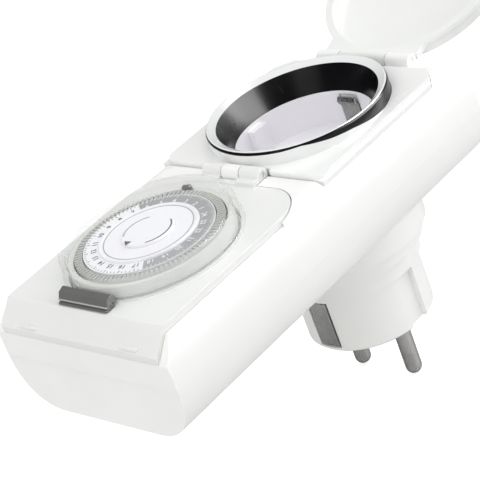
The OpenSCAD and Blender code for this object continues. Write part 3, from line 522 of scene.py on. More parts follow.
@dataclass(frozen=True)
class Metal:
    """Drawn, plated or stamped metal with streaks and slow tarnish.

    Streaks have streak cells per metre along Z and cross cells across it. Where edge is given, the
    colour turns to it between the two facings edge_from and edge_full, as painted outline shade.
    """

    name: str
    base: Colour
    tarnish: Colour
    roughness: float = 0.28
    swing: float = 0.14
    streak: float = 60.0
    cross: float = 1800.0
    depth: float = 0.000004
    dulling: float = 0.12
    edge: Optional[Colour] = None
    edge_from: float = 0.35
    edge_full: float = 0.95

    def build(self, shop: FinishShop) -> bpy.types.Material:
        """Makes the material.

        Args:
            shop: holder of the shared groups.

        Returns:
            The finished material.
        """
        material, tree, shader, coords = shop.blank(self.name)
        work = shop.place(tree, shop.brushing, coords, Streak=self.streak, Cross=self.cross)
        face = tree.mix(work.outputs["Tarnish"], self.base, self.tarnish)
        # a dark edge colour paints shade along the outline
        if self.edge:
            rim = tree.outline_mask(self.edge_from, self.edge_full)
            face = tree.mix(rim, face, self.edge)
        tree.link(face, shader.inputs["Base Color"])
        shader.inputs["Metallic"].default_value = 1.0
        low, high = self.roughness - self.swing / 2, self.roughness + self.swing / 2
        gloss = tree.remap(work.outputs["Streaks"], 0.0, 1.0, low, high)
        dull = tree.math("MULTIPLY", work.outputs["Tarnish"], self.dulling)
        tree.link(tree.math("ADD", gloss, dull), shader.inputs["Roughness"])
        tree.link(tree.bump(work.outputs["Streaks"], self.depth), shader.inputs["Normal"])
        return material


@dataclass(frozen=True)
class Clear:
    """Clear moulded plastic: a clear top, lightly frosted side walls and a grey reflection painted
    towards its outline.

    The veils are shares of what lies behind that a level top, an upright wall, the
    shape's outline and a shadow keep hidden.
    """

    name: str
    tint: Colour
    haze: Colour
    edge_tint: Colour
    roughness: float = 0.06
    grain_scale: float = 900.0
    flow_depth: float = 0.00002
    smudge: float = 0.05
    edge_from: float = 0.66
    edge_full: float = 0.96
    wall_upright: float = 0.35
    top_level: float = 0.8
    top_veil: float = 0.05
    side_veil: float = 0.32
    edge_veil: float = 0.75
    shadow_veil: float = 0.12

    def build(self, shop: FinishShop) -> bpy.types.Material:
        """Makes the material.

        Args:
            shop: holder of the shared groups.

        Returns:
            The finished material.
        """
        material, tree, shader, coords = shop.blank(self.name)
        texture = shop.place(tree, shop.moulding, coords, Grain_Scale=self.grain_scale)
        marks = shop.place(tree, shop.handling, coords)
        # grey colour painted towards the outline stands for the wall's reflection at grazing
        # angles
        rim = tree.outline_mask(self.edge_from, self.edge_full)
        tone = tree.mix(texture.outputs["Tone"], self.tint, self.haze)
        tree.link(tree.mix(rim, tone, self.edge_tint), shader.inputs["Base Color"])
        gloss = tree.math("MULTIPLY", marks.outputs["Smudge"], self.smudge)
        tree.link(tree.math("ADD", gloss, self.roughness), shader.inputs["Roughness"])
        tree.link(self.veil(tree, rim), shader.inputs["Alpha"])
        tree.link(tree.bump(texture.outputs["Flow"], self.flow_depth), shader.inputs["Normal"])
        return material

    def veil(self, tree: Tree, rim: bpy.types.NodeSocket) -> bpy.types.NodeSocket:
        """How much of what lies behind is hidden, by the surface's lean and its outline.

        Args:
            tree: the material's tree.
            rim: mask of the shape's outline.

        Returns:
            The alpha's socket, which is lower for shadows.
        """
        lean = tree.add("ShaderNodeSeparateXYZ")
        tree.link(tree.add("ShaderNodeTexCoord").outputs["Normal"], lean.inputs["Vector"])
        level = tree.math("ABSOLUTE", lean.outputs["Z"])
        wall = tree.remap(level, self.wall_upright, self.top_level, self.side_veil,
                          self.top_veil)
        edge = tree.math("MULTIPLY", rim, self.edge_veil)
        path = tree.add("ShaderNodeLightPath")
        lit = tree.remap(path.outputs["Is Shadow Ray"], 0.0, 1.0, 1.0, self.shadow_veil)
        return tree.math("MULTIPLY", tree.math("MAXIMUM", wall, edge), lit)


Finish = Plastic | Metal | Clear

# each finish: name, colour, second colour, roughness
HOUSING_WHITE = Plastic("housing_white", (0.88, 0.88, 0.87), (0.84, 0.84, 0.82), 0.34,
                        subsurface=0.08)
LID_FROSTED = Plastic("lid_frosted", (0.87, 0.88, 0.86), (0.83, 0.84, 0.82), 0.36,
                      transmission=0.1, subsurface=0.1)
# the third colour is a grey reflection painted along the window's outline
WINDOW_CLEAR = Clear("window_clear", (0.88, 0.89, 0.88), (0.84, 0.85, 0.84),
                     (0.55, 0.56, 0.54))
COLLAR_BLACK = Plastic("collar_black", (0.004, 0.004, 0.005), (0.006, 0.006, 0.007), 0.24,
                       specular=0.2)
# pale lip on the black collar's rim: partly the lip's own colour, partly a painted highlight
COLLAR_RIM_HIGHLIGHT = Plastic("collar_rim", (0.8, 0.81, 0.81), (0.75, 0.76, 0.76), 0.2, coat=0.5)
LATCH_GREY = Plastic("latch_grey", (0.1, 0.1, 0.098), (0.13, 0.13, 0.125), 0.42)
# pale bead colour that paints the highlight along the latch's crease
LATCH_CREASE_HIGHLIGHT = Plastic("latch_crease_highlight", (0.45, 0.45, 0.44), (0.4, 0.4, 0.39), 0.2, coat=0.5)
PLATE_FROSTED = Plastic("plate_frosted", (0.86, 0.87, 0.86), (0.82, 0.83, 0.815), 0.24,
                        coat=0.3, subsurface=0.1)
SOCKET_GREY = Plastic("socket_grey", (0.87, 0.86, 0.89), (0.82, 0.81, 0.84), 0.42)
BEZEL_GREY = Plastic("bezel_grey", (0.66, 0.67, 0.64), (0.61, 0.62, 0.59), 0.45)
DIAL_WHITE = Plastic("dial_white", (0.85, 0.85, 0.88), (0.81, 0.81, 0.84), 0.45)
PRINT_GREY = Plastic("print_grey", (0.32, 0.32, 0.33), (0.36, 0.36, 0.37), 0.5)
DIAL_INK = Plastic("dial_ink", (0.05, 0.05, 0.055), (0.07, 0.07, 0.075), 0.5)
NIGHT_GREY = Plastic("night_grey", (0.3, 0.3, 0.31), (0.34, 0.34, 0.35), 0.5)
TAPPET_GREY = Plastic("tappet_grey", (0.45, 0.46, 0.43), (0.4, 0.41, 0.385), 0.45)
SEAL_RUBBER = Plastic("seal_rubber", (0.03, 0.03, 0.03), (0.045, 0.045, 0.043), 0.6)
SWITCH_BLACK = Plastic("switch_black", (0.02, 0.02, 0.021), (0.03, 0.03, 0.031), 0.5)
NYLON = Plastic("nylon", (0.78, 0.74, 0.62), (0.72, 0.68, 0.57), 0.42, subsurface=0.15)
WIRE_BLUE = Plastic("wire_blue", (0.02, 0.09, 0.42), (0.03, 0.11, 0.46), 0.35)
# the nickel's dark edge colour paints shade along the outlines of the pins and clips
NICKEL = Metal("nickel", (0.45, 0.445, 0.435), (0.36, 0.355, 0.34), 0.27,
               edge=(0.07, 0.07, 0.07))
BRASS = Metal("brass", (0.74, 0.53, 0.24), (0.6, 0.42, 0.2), 0.3)
COPPER = Metal("copper", (0.76, 0.41, 0.26), (0.6, 0.32, 0.2), 0.32)
ZINC = Metal("zinc_steel", (0.62, 0.63, 0.65), (0.52, 0.53, 0.54), 0.3)
BLACKED_STEEL = Metal("blacked_steel", (0.09, 0.09, 0.09), (0.06, 0.06, 0.06), 0.4)
MOTOR_STEEL = Metal("motor_steel", (0.58, 0.59, 0.6), (0.5, 0.5, 0.5), 0.34, streak=900.0,
                    cross=60.0)


# ---------------------------------------------------------------- mesh work


def finish_mesh(name: str, mesh: bmesh.types.BMesh, sharp_deg: float = 35.0) -> bpy.types.Object:
    """Turns a bmesh into a smooth-shaded object at the origin.

    Args:
        name: the piece's name.
        mesh: the geometry, which is freed.
        sharp_deg: edges sharper than this keep a hard shade.

    Returns:
        The new object.
    """
    bmesh.ops.remove_doubles(mesh, verts=mesh.verts[:], dist=WELD)
    bmesh.ops.recalc_face_normals(mesh, faces=mesh.faces[:])
    for face in mesh.faces:
        face.smooth = True
    limit = math.radians(sharp_deg)
    for edge in mesh.edges:
        edge.smooth = len(edge.link_faces) == 2 and edge.calc_face_angle(0.0) < limit
    data = bpy.data.meshes.new(name)
    mesh.to_mesh(data)
    mesh.free()
    piece = bpy.data.objects.new(name, data)
    bpy.context.scene.collection.objects.link(piece)
    return piece


def apply_modifiers(piece: bpy.types.Object) -> None:
    """Turns a piece's modifiers into plain geometry.

    Args:
        piece: the object, whose mesh is replaced.
    """
    graph = bpy.context.evaluated_depsgraph_get()
    data = bpy.data.meshes.new_from_object(piece.evaluated_get(graph))
    piece.modifiers.clear()
    piece.data = data


def eased_copy(frame: dict, node: str, radius: float, segments: int = 2,
               edge_deg: float = 32.0) -> bpy.types.Object:
    """A merged copy of a CAD solid with its sharp edges eased round.

    Args:
        frame: the loaded frame.
        node: the CAD node to copy.
        radius: how far the rounding reaches from each edge, in metres.
        segments: faces across the rounding.
        edge_deg: edges sharper than this are rounded.

    Returns:
        The new piece, which rides on nothing yet.
    """
    mesh = bmesh.new()
    mesh.from_mesh(frame["nodes"][node].data)
    bmesh.ops.remove_doubles(mesh, verts=mesh.verts[:], dist=CAD_WELD)
    bmesh.ops.dissolve_limit(mesh, angle_limit=math.radians(FLAT_DEG), verts=mesh.verts[:],
                             edges=mesh.edges[:])
    piece = finish_mesh(node + "_dressed", mesh)
    bevel = piece.modifiers.new("ease", "BEVEL")
    bevel.width = radius
    bevel.segments = segments
    bevel.limit_method = "ANGLE"
    bevel.angle_limit = math.radians(edge_deg)
    bevel.use_clamp_overlap = True
    bevel.harden_normals = True
    bevel.miter_outer = "MITER_ARC"
    apply_modifiers(piece)
    return piece


def lathe(name: str, axis: Vector, section: Sequence[Point2], steps: int = 128,
          start_deg: float = 0.0, sweep_deg: float = FULL_TURN_DEG) -> bpy.types.Object:
    """Sweeps a closed radius-height outline round a vertical axis.

    Args:
        name: the piece's name.
        axis: a point on the axis; its height is added to the outline's.
        section: closed outline as (radius, height) pairs.
        steps: stations along the sweep.
        start_deg: angle of the first station.
        sweep_deg: angle swept; a full turn closes the ring.

    Returns:
        The new piece.
    """
    closed = sweep_deg >= FULL_TURN_DEG
    stations = steps if closed else steps + 1
    mesh = bmesh.new()
    rows = []
    for index in range(stations):
        turn = math.radians(start_deg + sweep_deg * index / steps)
        rows.append([mesh.verts.new((axis.x + r * math.cos(turn), axis.y + r * math.sin(turn),
                                     axis.z + z)) for r, z in section])
    count = len(section)
    for index in range(steps):
        near, far = rows[index], rows[(index + 1) % stations]
        for k in range(count):
            nxt = (k + 1) % count
            mesh.faces.new((near[k], near[nxt], far[nxt], far[k]))
    if not closed:
        mesh.faces.new(rows[0])
        mesh.faces.new(rows[-1])
    return finish_mesh(name, mesh)


def flat_band(name: str, axis: Vector, inner: float, outer: float, thickness: float,
              start_deg: float = 0.0, sweep_deg: float = FULL_TURN_DEG,
              steps: int = 128) -> bpy.types.Object:
    """A thin flat ring or arc that lies on a face, such as printed ink."""
    section = ((inner, 0.0), (outer, 0.0), (outer, thickness), (inner, thickness))
    return lathe(name, axis, section, steps, start_deg, sweep_deg)


def prism(mesh: bmesh.types.BMesh, outline: Sequence[Point2], low: float, high: float) -> None:
    """Adds a closed upright prism to a mesh.

    Args:
        mesh: the geometry to add to.
        outline: corners of the plan, in order.
        low: height of the foot.
        high: height of the top.
    """
    foot = [mesh.verts.new((x, y, low)) for x, y in outline]
    top = [mesh.verts.new((x, y, high)) for x, y in outline]
    mesh.faces.new(foot)
    mesh.faces.new(top)
    for k, corner in enumerate(foot):
        nxt = (k + 1) % len(foot)
        mesh.faces.new((corner, foot[nxt], top[nxt], top[k]))


def pill(name: str, start: Vector, end: Vector, radius: float, squash: float = 1.0,
         up: Vector = Vector((0, 0, 1)), sides: int = 16, rings: int = 5) -> bpy.types.Object:
    """A rod with domed ends, flattened along one direction if asked.

    Args:
        name: the piece's name.
        start: centre of the first dome.
        end: centre of the second dome.
        radius: half width across the rod.
        squash: height along up as a share of the radius.
        up: direction that is flattened.
        sides: faces round the rod.
        rings: rings of faces on each dome.

    Returns:
        The new piece.
    """
    along = (end - start).normalized()
    rise = (up - along * up.dot(along)).normalized()
    across = along.cross(rise)
    mesh = bmesh.new()
    rows = []
    for centre, sign in ((start, -1), (end, 1)):
        angles = [math.pi / 2 * k / rings for k in range(rings)]
        for lift in (reversed(angles) if sign < 0 else angles):
            ring_r = radius * math.cos(lift)
            middle = centre + along * (sign * radius * math.sin(lift))
            rows.append([mesh.verts.new(middle + (across * math.cos(t) + rise * squash
                                                  * math.sin(t)) * ring_r)
                         for t in (2 * math.pi * k / sides for k in range(sides))])
    for near, far in zip(rows, rows[1:]):
        for k in range(sides):
            nxt = (k + 1) % sides
            mesh.faces.new((near[k], near[nxt], far[nxt], far[k]))
    for row, tip in ((rows[0], start - along * radius), (rows[-1], end + along * radius)):
        apex = mesh.verts.new(tip)
        for k in range(sides):
            mesh.faces.new((row[k], row[(k + 1) % sides], apex))
    return finish_mesh(name, mesh, sharp_deg=60.0)


def ring_group() -> bpy.types.NodeTree:
    """Geometry nodes that repeat a piece round a vertical axis, as one mesh.

    Returns:
        The group.
    """
    group = bpy.data.node_groups.new("ring_repeat", "GeometryNodeTree")
    for label, kind in (("Geometry", "NodeSocketGeometry"), ("Centre", "NodeSocketVector"),
                        ("Count", "NodeSocketInt"), ("First Angle", "NodeSocketFloat"),
                        ("Pitch", "NodeSocketFloat"), ("Material", "NodeSocketMaterial")):
        group.interface.new_socket(label, in_out="INPUT", socket_type=kind)
    group.interface.new_socket("Geometry", in_out="OUTPUT", socket_type="NodeSocketGeometry")
    tree = Tree(group)
    given, made = tree.add("NodeGroupInput"), tree.add("NodeGroupOutput")
    points = tree.add("GeometryNodePoints")
    tree.link(given.outputs["Count"], points.inputs["Count"])
    tree.link(given.outputs["Centre"], points.inputs["Position"])
    index = tree.add("GeometryNodeInputIndex")
    turned = tree.math("MULTIPLY", index.outputs["Index"], given.outputs["Pitch"])
    angle = tree.math("ADD", turned, given.outputs["First Angle"])
    euler = tree.add("ShaderNodeCombineXYZ")
    tree.link(angle, euler.inputs["Z"])
    spread = tree.add("GeometryNodeInstanceOnPoints")
    tree.link(points.outputs["Points"], spread.inputs["Points"])
    tree.link(given.outputs["Geometry"], spread.inputs["Instance"])
    rotation = tree.add("FunctionNodeEulerToRotation")
    tree.link(euler.outputs["Vector"], rotation.inputs["Euler"])
    tree.link(rotation.outputs["Rotation"], spread.inputs["Rotation"])
    real = tree.add("GeometryNodeRealizeInstances")
    tree.link(spread.outputs["Instances"], real.inputs["Geometry"])
    paint = tree.add("GeometryNodeSetMaterial")
    tree.link(real.outputs["Geometry"], paint.inputs["Geometry"])
    tree.link(given.outputs["Material"], paint.inputs["Material"])
    tree.link(paint.outputs["Geometry"], made.inputs["Geometry"])
    return group


def repeat_round(piece: bpy.types.Object, group: bpy.types.NodeTree,
                 values: dict[str, object]) -> None:
    """Runs the ring repeat on a piece and keeps its result as plain geometry.

    Args:
        piece: the object to repeat, modelled about the origin.
        group: the ring repeat's node group.
        values: numbers, a vector and a material for the group's named inputs.
    """
    modifier = piece.modifiers.new("ring_repeat", "NODES")
    modifier.node_group = group
    keys = {item.name: item.identifier for item in group.interface.items_tree
            if item.in_out == "INPUT"}
    for label, value in values.items():
        modifier[keys[label]] = value
    apply_modifiers(piece)


@dataclass(frozen=True)
class Span:
    """The box of a CAD node at rest, in the frame's metres."""

    low: Vector
    high: Vector

    @classmethod
    def of(cls, node: str) -> "Span":
        """Reads a node's box from the frame.

        Args:
            node: the CAD node's name.

        Returns:
            Its box.
        """
        low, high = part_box(node)
        return cls(Vector(low), Vector(high))

    @property
    def centre(self) -> Vector:
        """Middle of the box."""
        return (self.low + self.high) / 2

    @property
    def radius(self) -> float:
        """Half of the box's width along X."""
        return (self.high.x - self.low.x) / 2


@dataclass
class Fitter:
    """Dresses pieces: material, body and the CAD node that each stands for."""

    frame: dict
    shop: FinishShop
    ring: bpy.types.NodeTree

    def dress(self, piece: bpy.types.Object, finish: Finish, slot: Slot, body: Body | str,
              *nodes: str) -> bpy.types.Object:
        """Gives a piece its finish and its place in the model.

        Args:
            piece: the finished object.
            finish: its look.
            slot: the record's slot; not used.
            body: the body that it rides on.
            nodes: CAD nodes that it stands for.

        Returns:
            The piece.
        """
        piece.data.materials.clear()
        piece.data.materials.append(self.shop.get(finish))
        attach(piece, body.value if isinstance(body, Body) else body)
        if nodes:
            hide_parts(*nodes)
        log.info("%s: %d faces", piece.name, len(piece.data.polygons))
        return piece

    def ease(self, item: Ease) -> bpy.types.Object:
        """Replaces a CAD node by its eased copy.

        Args:
            item: which node, with what finish and rounding.

        Returns:
            The new piece.
        """
        piece = eased_copy(self.frame, item.node, item.radius_mm * MM, item.segments)
        return self.dress(piece, item.finish, item.slot,
                          self.frame["nodes"][item.node]["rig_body"], item.node)


@dataclass(frozen=True)
class Ease:
    """How a CAD node is dressed: its finish, slot and edge rounding."""

    node: str
    finish: Finish
    slot: Slot
    radius_mm: float = 0.1
    segments: int = 2


# ---------------------------------------------------------------- sub-assemblies


@dataclass
class SubAssembly:
    """A group of pieces that is dressed together."""

    fitter: Fitter

    def eased(self) -> Iterable[Ease]:
        """CAD nodes of the group that keep their shape."""
        return ()

    def details(self) -> None:
        """Adds the pieces that the CAD nodes don't show."""

    def build(self) -> None:
        """Dresses the group."""
        for item in self.eased():
            self.fitter.ease(item)
        self.details()


@dataclass
class Shells(SubAssembly):
    """Upper and lower shell, the plug's stepped collar, seal and screws."""

    outer_edge_mm: float = 0.5
    upper_edge_mm: float = 0.4
    screw_edge_mm: float = 0.12

    def eased(self) -> Iterable[Ease]:
        """Lists the shells and what joins them.

        Returns:
            How each CAD node is dressed.
        """
        return (
            Ease("lower_housing", HOUSING_WHITE, Slot.HOUSING_WHITE, self.outer_edge_mm, FINE),
            Ease("plug_collar", HOUSING_WHITE, Slot.HOUSING_WHITE, self.outer_edge_mm, FINE),
            Ease("upper_housing", HOUSING_WHITE, Slot.HOUSING_WHITE, self.upper_edge_mm, FINE),
            Ease("housing_gasket", SEAL_RUBBER, Slot.SEAL),
            Ease("housing_screws", ZINC, Slot.ZINC, self.screw_edge_mm),
        )


@dataclass
class Plug(SubAssembly):
    """Plug body, its pins and its earth clips."""

    body_edge_mm: float = 0.35
    clip_edge_mm: float = 0.2

    def eased(self) -> Iterable[Ease]:
        """Lists the plug's pieces.

        Returns:
            How each CAD node is dressed.
        """
        return (
            Ease("plug_body", HOUSING_WHITE, Slot.HOUSING_WHITE, self.body_edge_mm, FINE),
            Ease("line_pin", NICKEL, Slot.NICKEL),
            Ease("neutral_pin", NICKEL, Slot.NICKEL),
            Ease("plug_earth_clip_near", NICKEL, Slot.NICKEL, self.clip_edge_mm),
            Ease("plug_earth_clip_far", NICKEL, Slot.NICKEL, self.clip_edge_mm),
        )


@dataclass
class Conductors(SubAssembly):
    """Strips and contacts that carry the current."""

    wire_edge_mm: float = 0.05

    def eased(self) -> Iterable[Ease]:
        """Lists the strips, contacts and leads.

        Returns:
            How each CAD node is dressed.
        """
        return (
            Ease("earth_strap", BRASS, Slot.BRASS),
            Ease("line_contact", BRASS, Slot.BRASS),
            Ease("neutral_contact", BRASS, Slot.BRASS),
            Ease("line_busbar", COPPER, Slot.COPPER),
            Ease("neutral_busbar", COPPER, Slot.COPPER),
            Ease("switched_busbar", COPPER, Slot.COPPER),
            Ease("motor_leads", WIRE_BLUE, Slot.WIRE, self.wire_edge_mm),
        )


@dataclass
class Outlet(SubAssembly):
    """Recess with its guide ribs, seal collar, plate and earth clips."""

    recess_edge_mm: float = 0.2
    collar_edge_mm: float = 0.25
    plate_edge_mm: float = 0.35
    rim_width: float = 2.8 * MM
    rim_drop: float = 1.1 * MM
    rim_round: float = 0.5 * MM
    rim_skin: float = 0.1 * MM
    # shares of the rim's drop where the lip's inner edge begins and ends
    rim_inner_top: float = 0.85
    rim_inner_foot: float = 0.95
    shoulder_skin: float = 0.12 * MM
    shoulder_middle_deg: float = -90.0
    shoulder_steps: int = 96
    # the pale skin's upper edge, which bounds the painted highlight: degrees from its middle,
    # millimetres below the rim
    shoulder_edge: tuple[Point2, ...] = (
        (0.0, 0.9), (30.0, 0.8), (42.0, 0.6), (60.0, 1.7), (75.0, 2.2), (90.0, 3.3),
        (105.0, 4.0), (120.0, 4.8))

    def eased(self) -> Iterable[Ease]:
        """Lists the outlet's pieces.

        Returns:
            How each CAD node is dressed.
        """
        return (
            Ease("socket_insert", SOCKET_GREY, Slot.SOCKET, self.recess_edge_mm),
            Ease("socket_collar", COLLAR_BLACK, Slot.COLLAR, self.collar_edge_mm, FINE),
            Ease("socket_surround", PLATE_FROSTED, Slot.LID, self.plate_edge_mm, FINE),
            Ease("socket_earth_clip", NICKEL, Slot.NICKEL),
        )

    def details(self) -> None:
        """Adds the pale lip on the collar's rim and the pale skin on its wall towards the dial,
        both partly painted highlight.
        """
        collar = Span.of("socket_collar")
        self.rim_lip(collar)
        self.shoulder(collar)

    def rim_lip(self, collar: Span) -> None:
        """Adds the glossy pale lip on the sloping rim of the seal collar; its pale colour is
        partly the lip's own and partly a painted highlight.

        Args:
            collar: the collar's box.
        """
        skin = self.rim_skin
        outer = collar.radius - self.rim_round
        inner = collar.radius - self.rim_width + skin
        # from the inner foot outwards, round the outer edge and back over the top
        section = ((inner, -self.rim_drop - skin), (outer, -3 * skin), (outer + 2 * skin, -skin),
                   (outer + skin, skin / 2), (outer - 2 * skin, skin),
                   (inner + 3 * skin, skin - self.rim_inner_top * self.rim_drop),
                   (inner, -self.rim_inner_foot * self.rim_drop))
        lip = lathe("collar_rim_lip", Vector((0.0, 0.0, collar.high.z)), section)
        self.fitter.dress(lip, COLLAR_RIM_HIGHLIGHT, Slot.COLLAR, Body.HOUSING)

    def shoulder(self, collar: Span) -> None:
        """Adds the pale skin that climbs the collar's outer wall towards the dial: it stands for a
        raised fairing of the plate and paints the highlight on the glossy black wall.

        Args:
            collar: the collar's box.
        """
        foot = Span.of("socket_surround").high.z - collar.high.z - 2 * self.shoulder_skin
        inner, outer = collar.radius - self.rim_skin, collar.radius + self.shoulder_skin
        section = ((inner, foot), (outer, foot), (outer, 0.0), (inner, 0.0))
        reach = self.shoulder_edge[-1][0]
        skin = lathe("collar_shoulder_highlight", Vector((0.0, 0.0, collar.high.z)), section,
                     self.shoulder_steps, self.shoulder_middle_deg - reach, 2 * reach)
        middle = math.radians(self.shoulder_middle_deg)
        towards = Vector((math.cos(middle), math.sin(middle)))
        for vertex in skin.data.vertices:
            if vertex.co.z > collar.high.z + foot / 2:
                away = math.degrees(towards.angle(vertex.co.to_2d()))
                vertex.co.z = collar.high.z - self.edge_drop(away)
        # the pale skin stands for a raised fairing of the plate and paints the highlight on the
        # glossy wall
        self.fitter.dress(skin, PLATE_FROSTED, Slot.LID, Body.HOUSING)

    def edge_drop(self, away: float) -> float:
        """How far the pale skin's edge lies below the rim, in metres.

        Args:
            away: degrees from the pale skin's middle.

        Returns:
            The drop, read along the table.
        """
        for (low, start), (high, end) in zip(self.shoulder_edge, self.shoulder_edge[1:]):
            if away <= high:
                return (start + (end - start) * (away - low) / (high - low)) * MM
        return self.shoulder_edge[-1][1] * MM


@dataclass
class Switch(SubAssembly):
    """Microswitch with its lever and plunger."""

    case_edge_mm: float = 0.2

    def eased(self) -> Iterable[Ease]:
        """Lists the switch's pieces.

        Returns:
            How each CAD node is dressed.
        """
        return (
            Ease("microswitch_body", SWITCH_BLACK, Slot.SWITCH, self.case_edge_mm),
            Ease("switch_plunger", NYLON, Slot.NYLON),
            Ease("switch_lever", ZINC, Slot.ZINC),
            Ease("lever_pivot_pin", ZINC, Slot.ZINC),
        )


@dataclass
class Movement(SubAssembly):
    """Motor, wheels, plate and bezel."""

    motor_edge_mm: float = 0.3
    plate_edge_mm: float = 0.2
    slider_edge_mm: float = 0.12
    tooth_edge_mm: float = 0.04

    def eased(self) -> Iterable[Ease]:
        """Lists the movement's pieces.

        Returns:
            How each CAD node is dressed.
        """
        return (
            Ease("motor", MOTOR_STEEL, Slot.MOTOR, self.motor_edge_mm, FINE),
            Ease("motor_pinion", BRASS, Slot.BRASS, self.tooth_edge_mm),
            Ease("movement_plate", NYLON, Slot.NYLON, self.plate_edge_mm),
            Ease("movement_screws", ZINC, Slot.ZINC),
            Ease("movement_bezel", BEZEL_GREY, Slot.BEZEL, self.plate_edge_mm),
            Ease("dial_arbor", ZINC, Slot.ZINC),
            Ease("idler_arbor", ZINC, Slot.ZINC),
            Ease("idler_wheel", NYLON, Slot.NYLON, self.tooth_edge_mm),
            Ease("override_slider", LATCH_GREY, Slot.LATCH, self.slider_edge_mm),
            Ease("timer_seal", SEAL_RUBBER, Slot.SEAL),
        )


class Half(Enum):
    """The light and the dark half of the numbered ring."""

    DAY = "day"
    NIGHT = "night"

    @property
    def ink(self) -> Plastic:
        """Finish of the half's figures and ticks."""
        return DIAL_WHITE if self is Half.NIGHT else DIAL_INK


@dataclass(frozen=True)
class Arc:
    """A printed arc on the knob."""

    name: str
    start_deg: float
    sweep_deg: float
    ink: Plastic


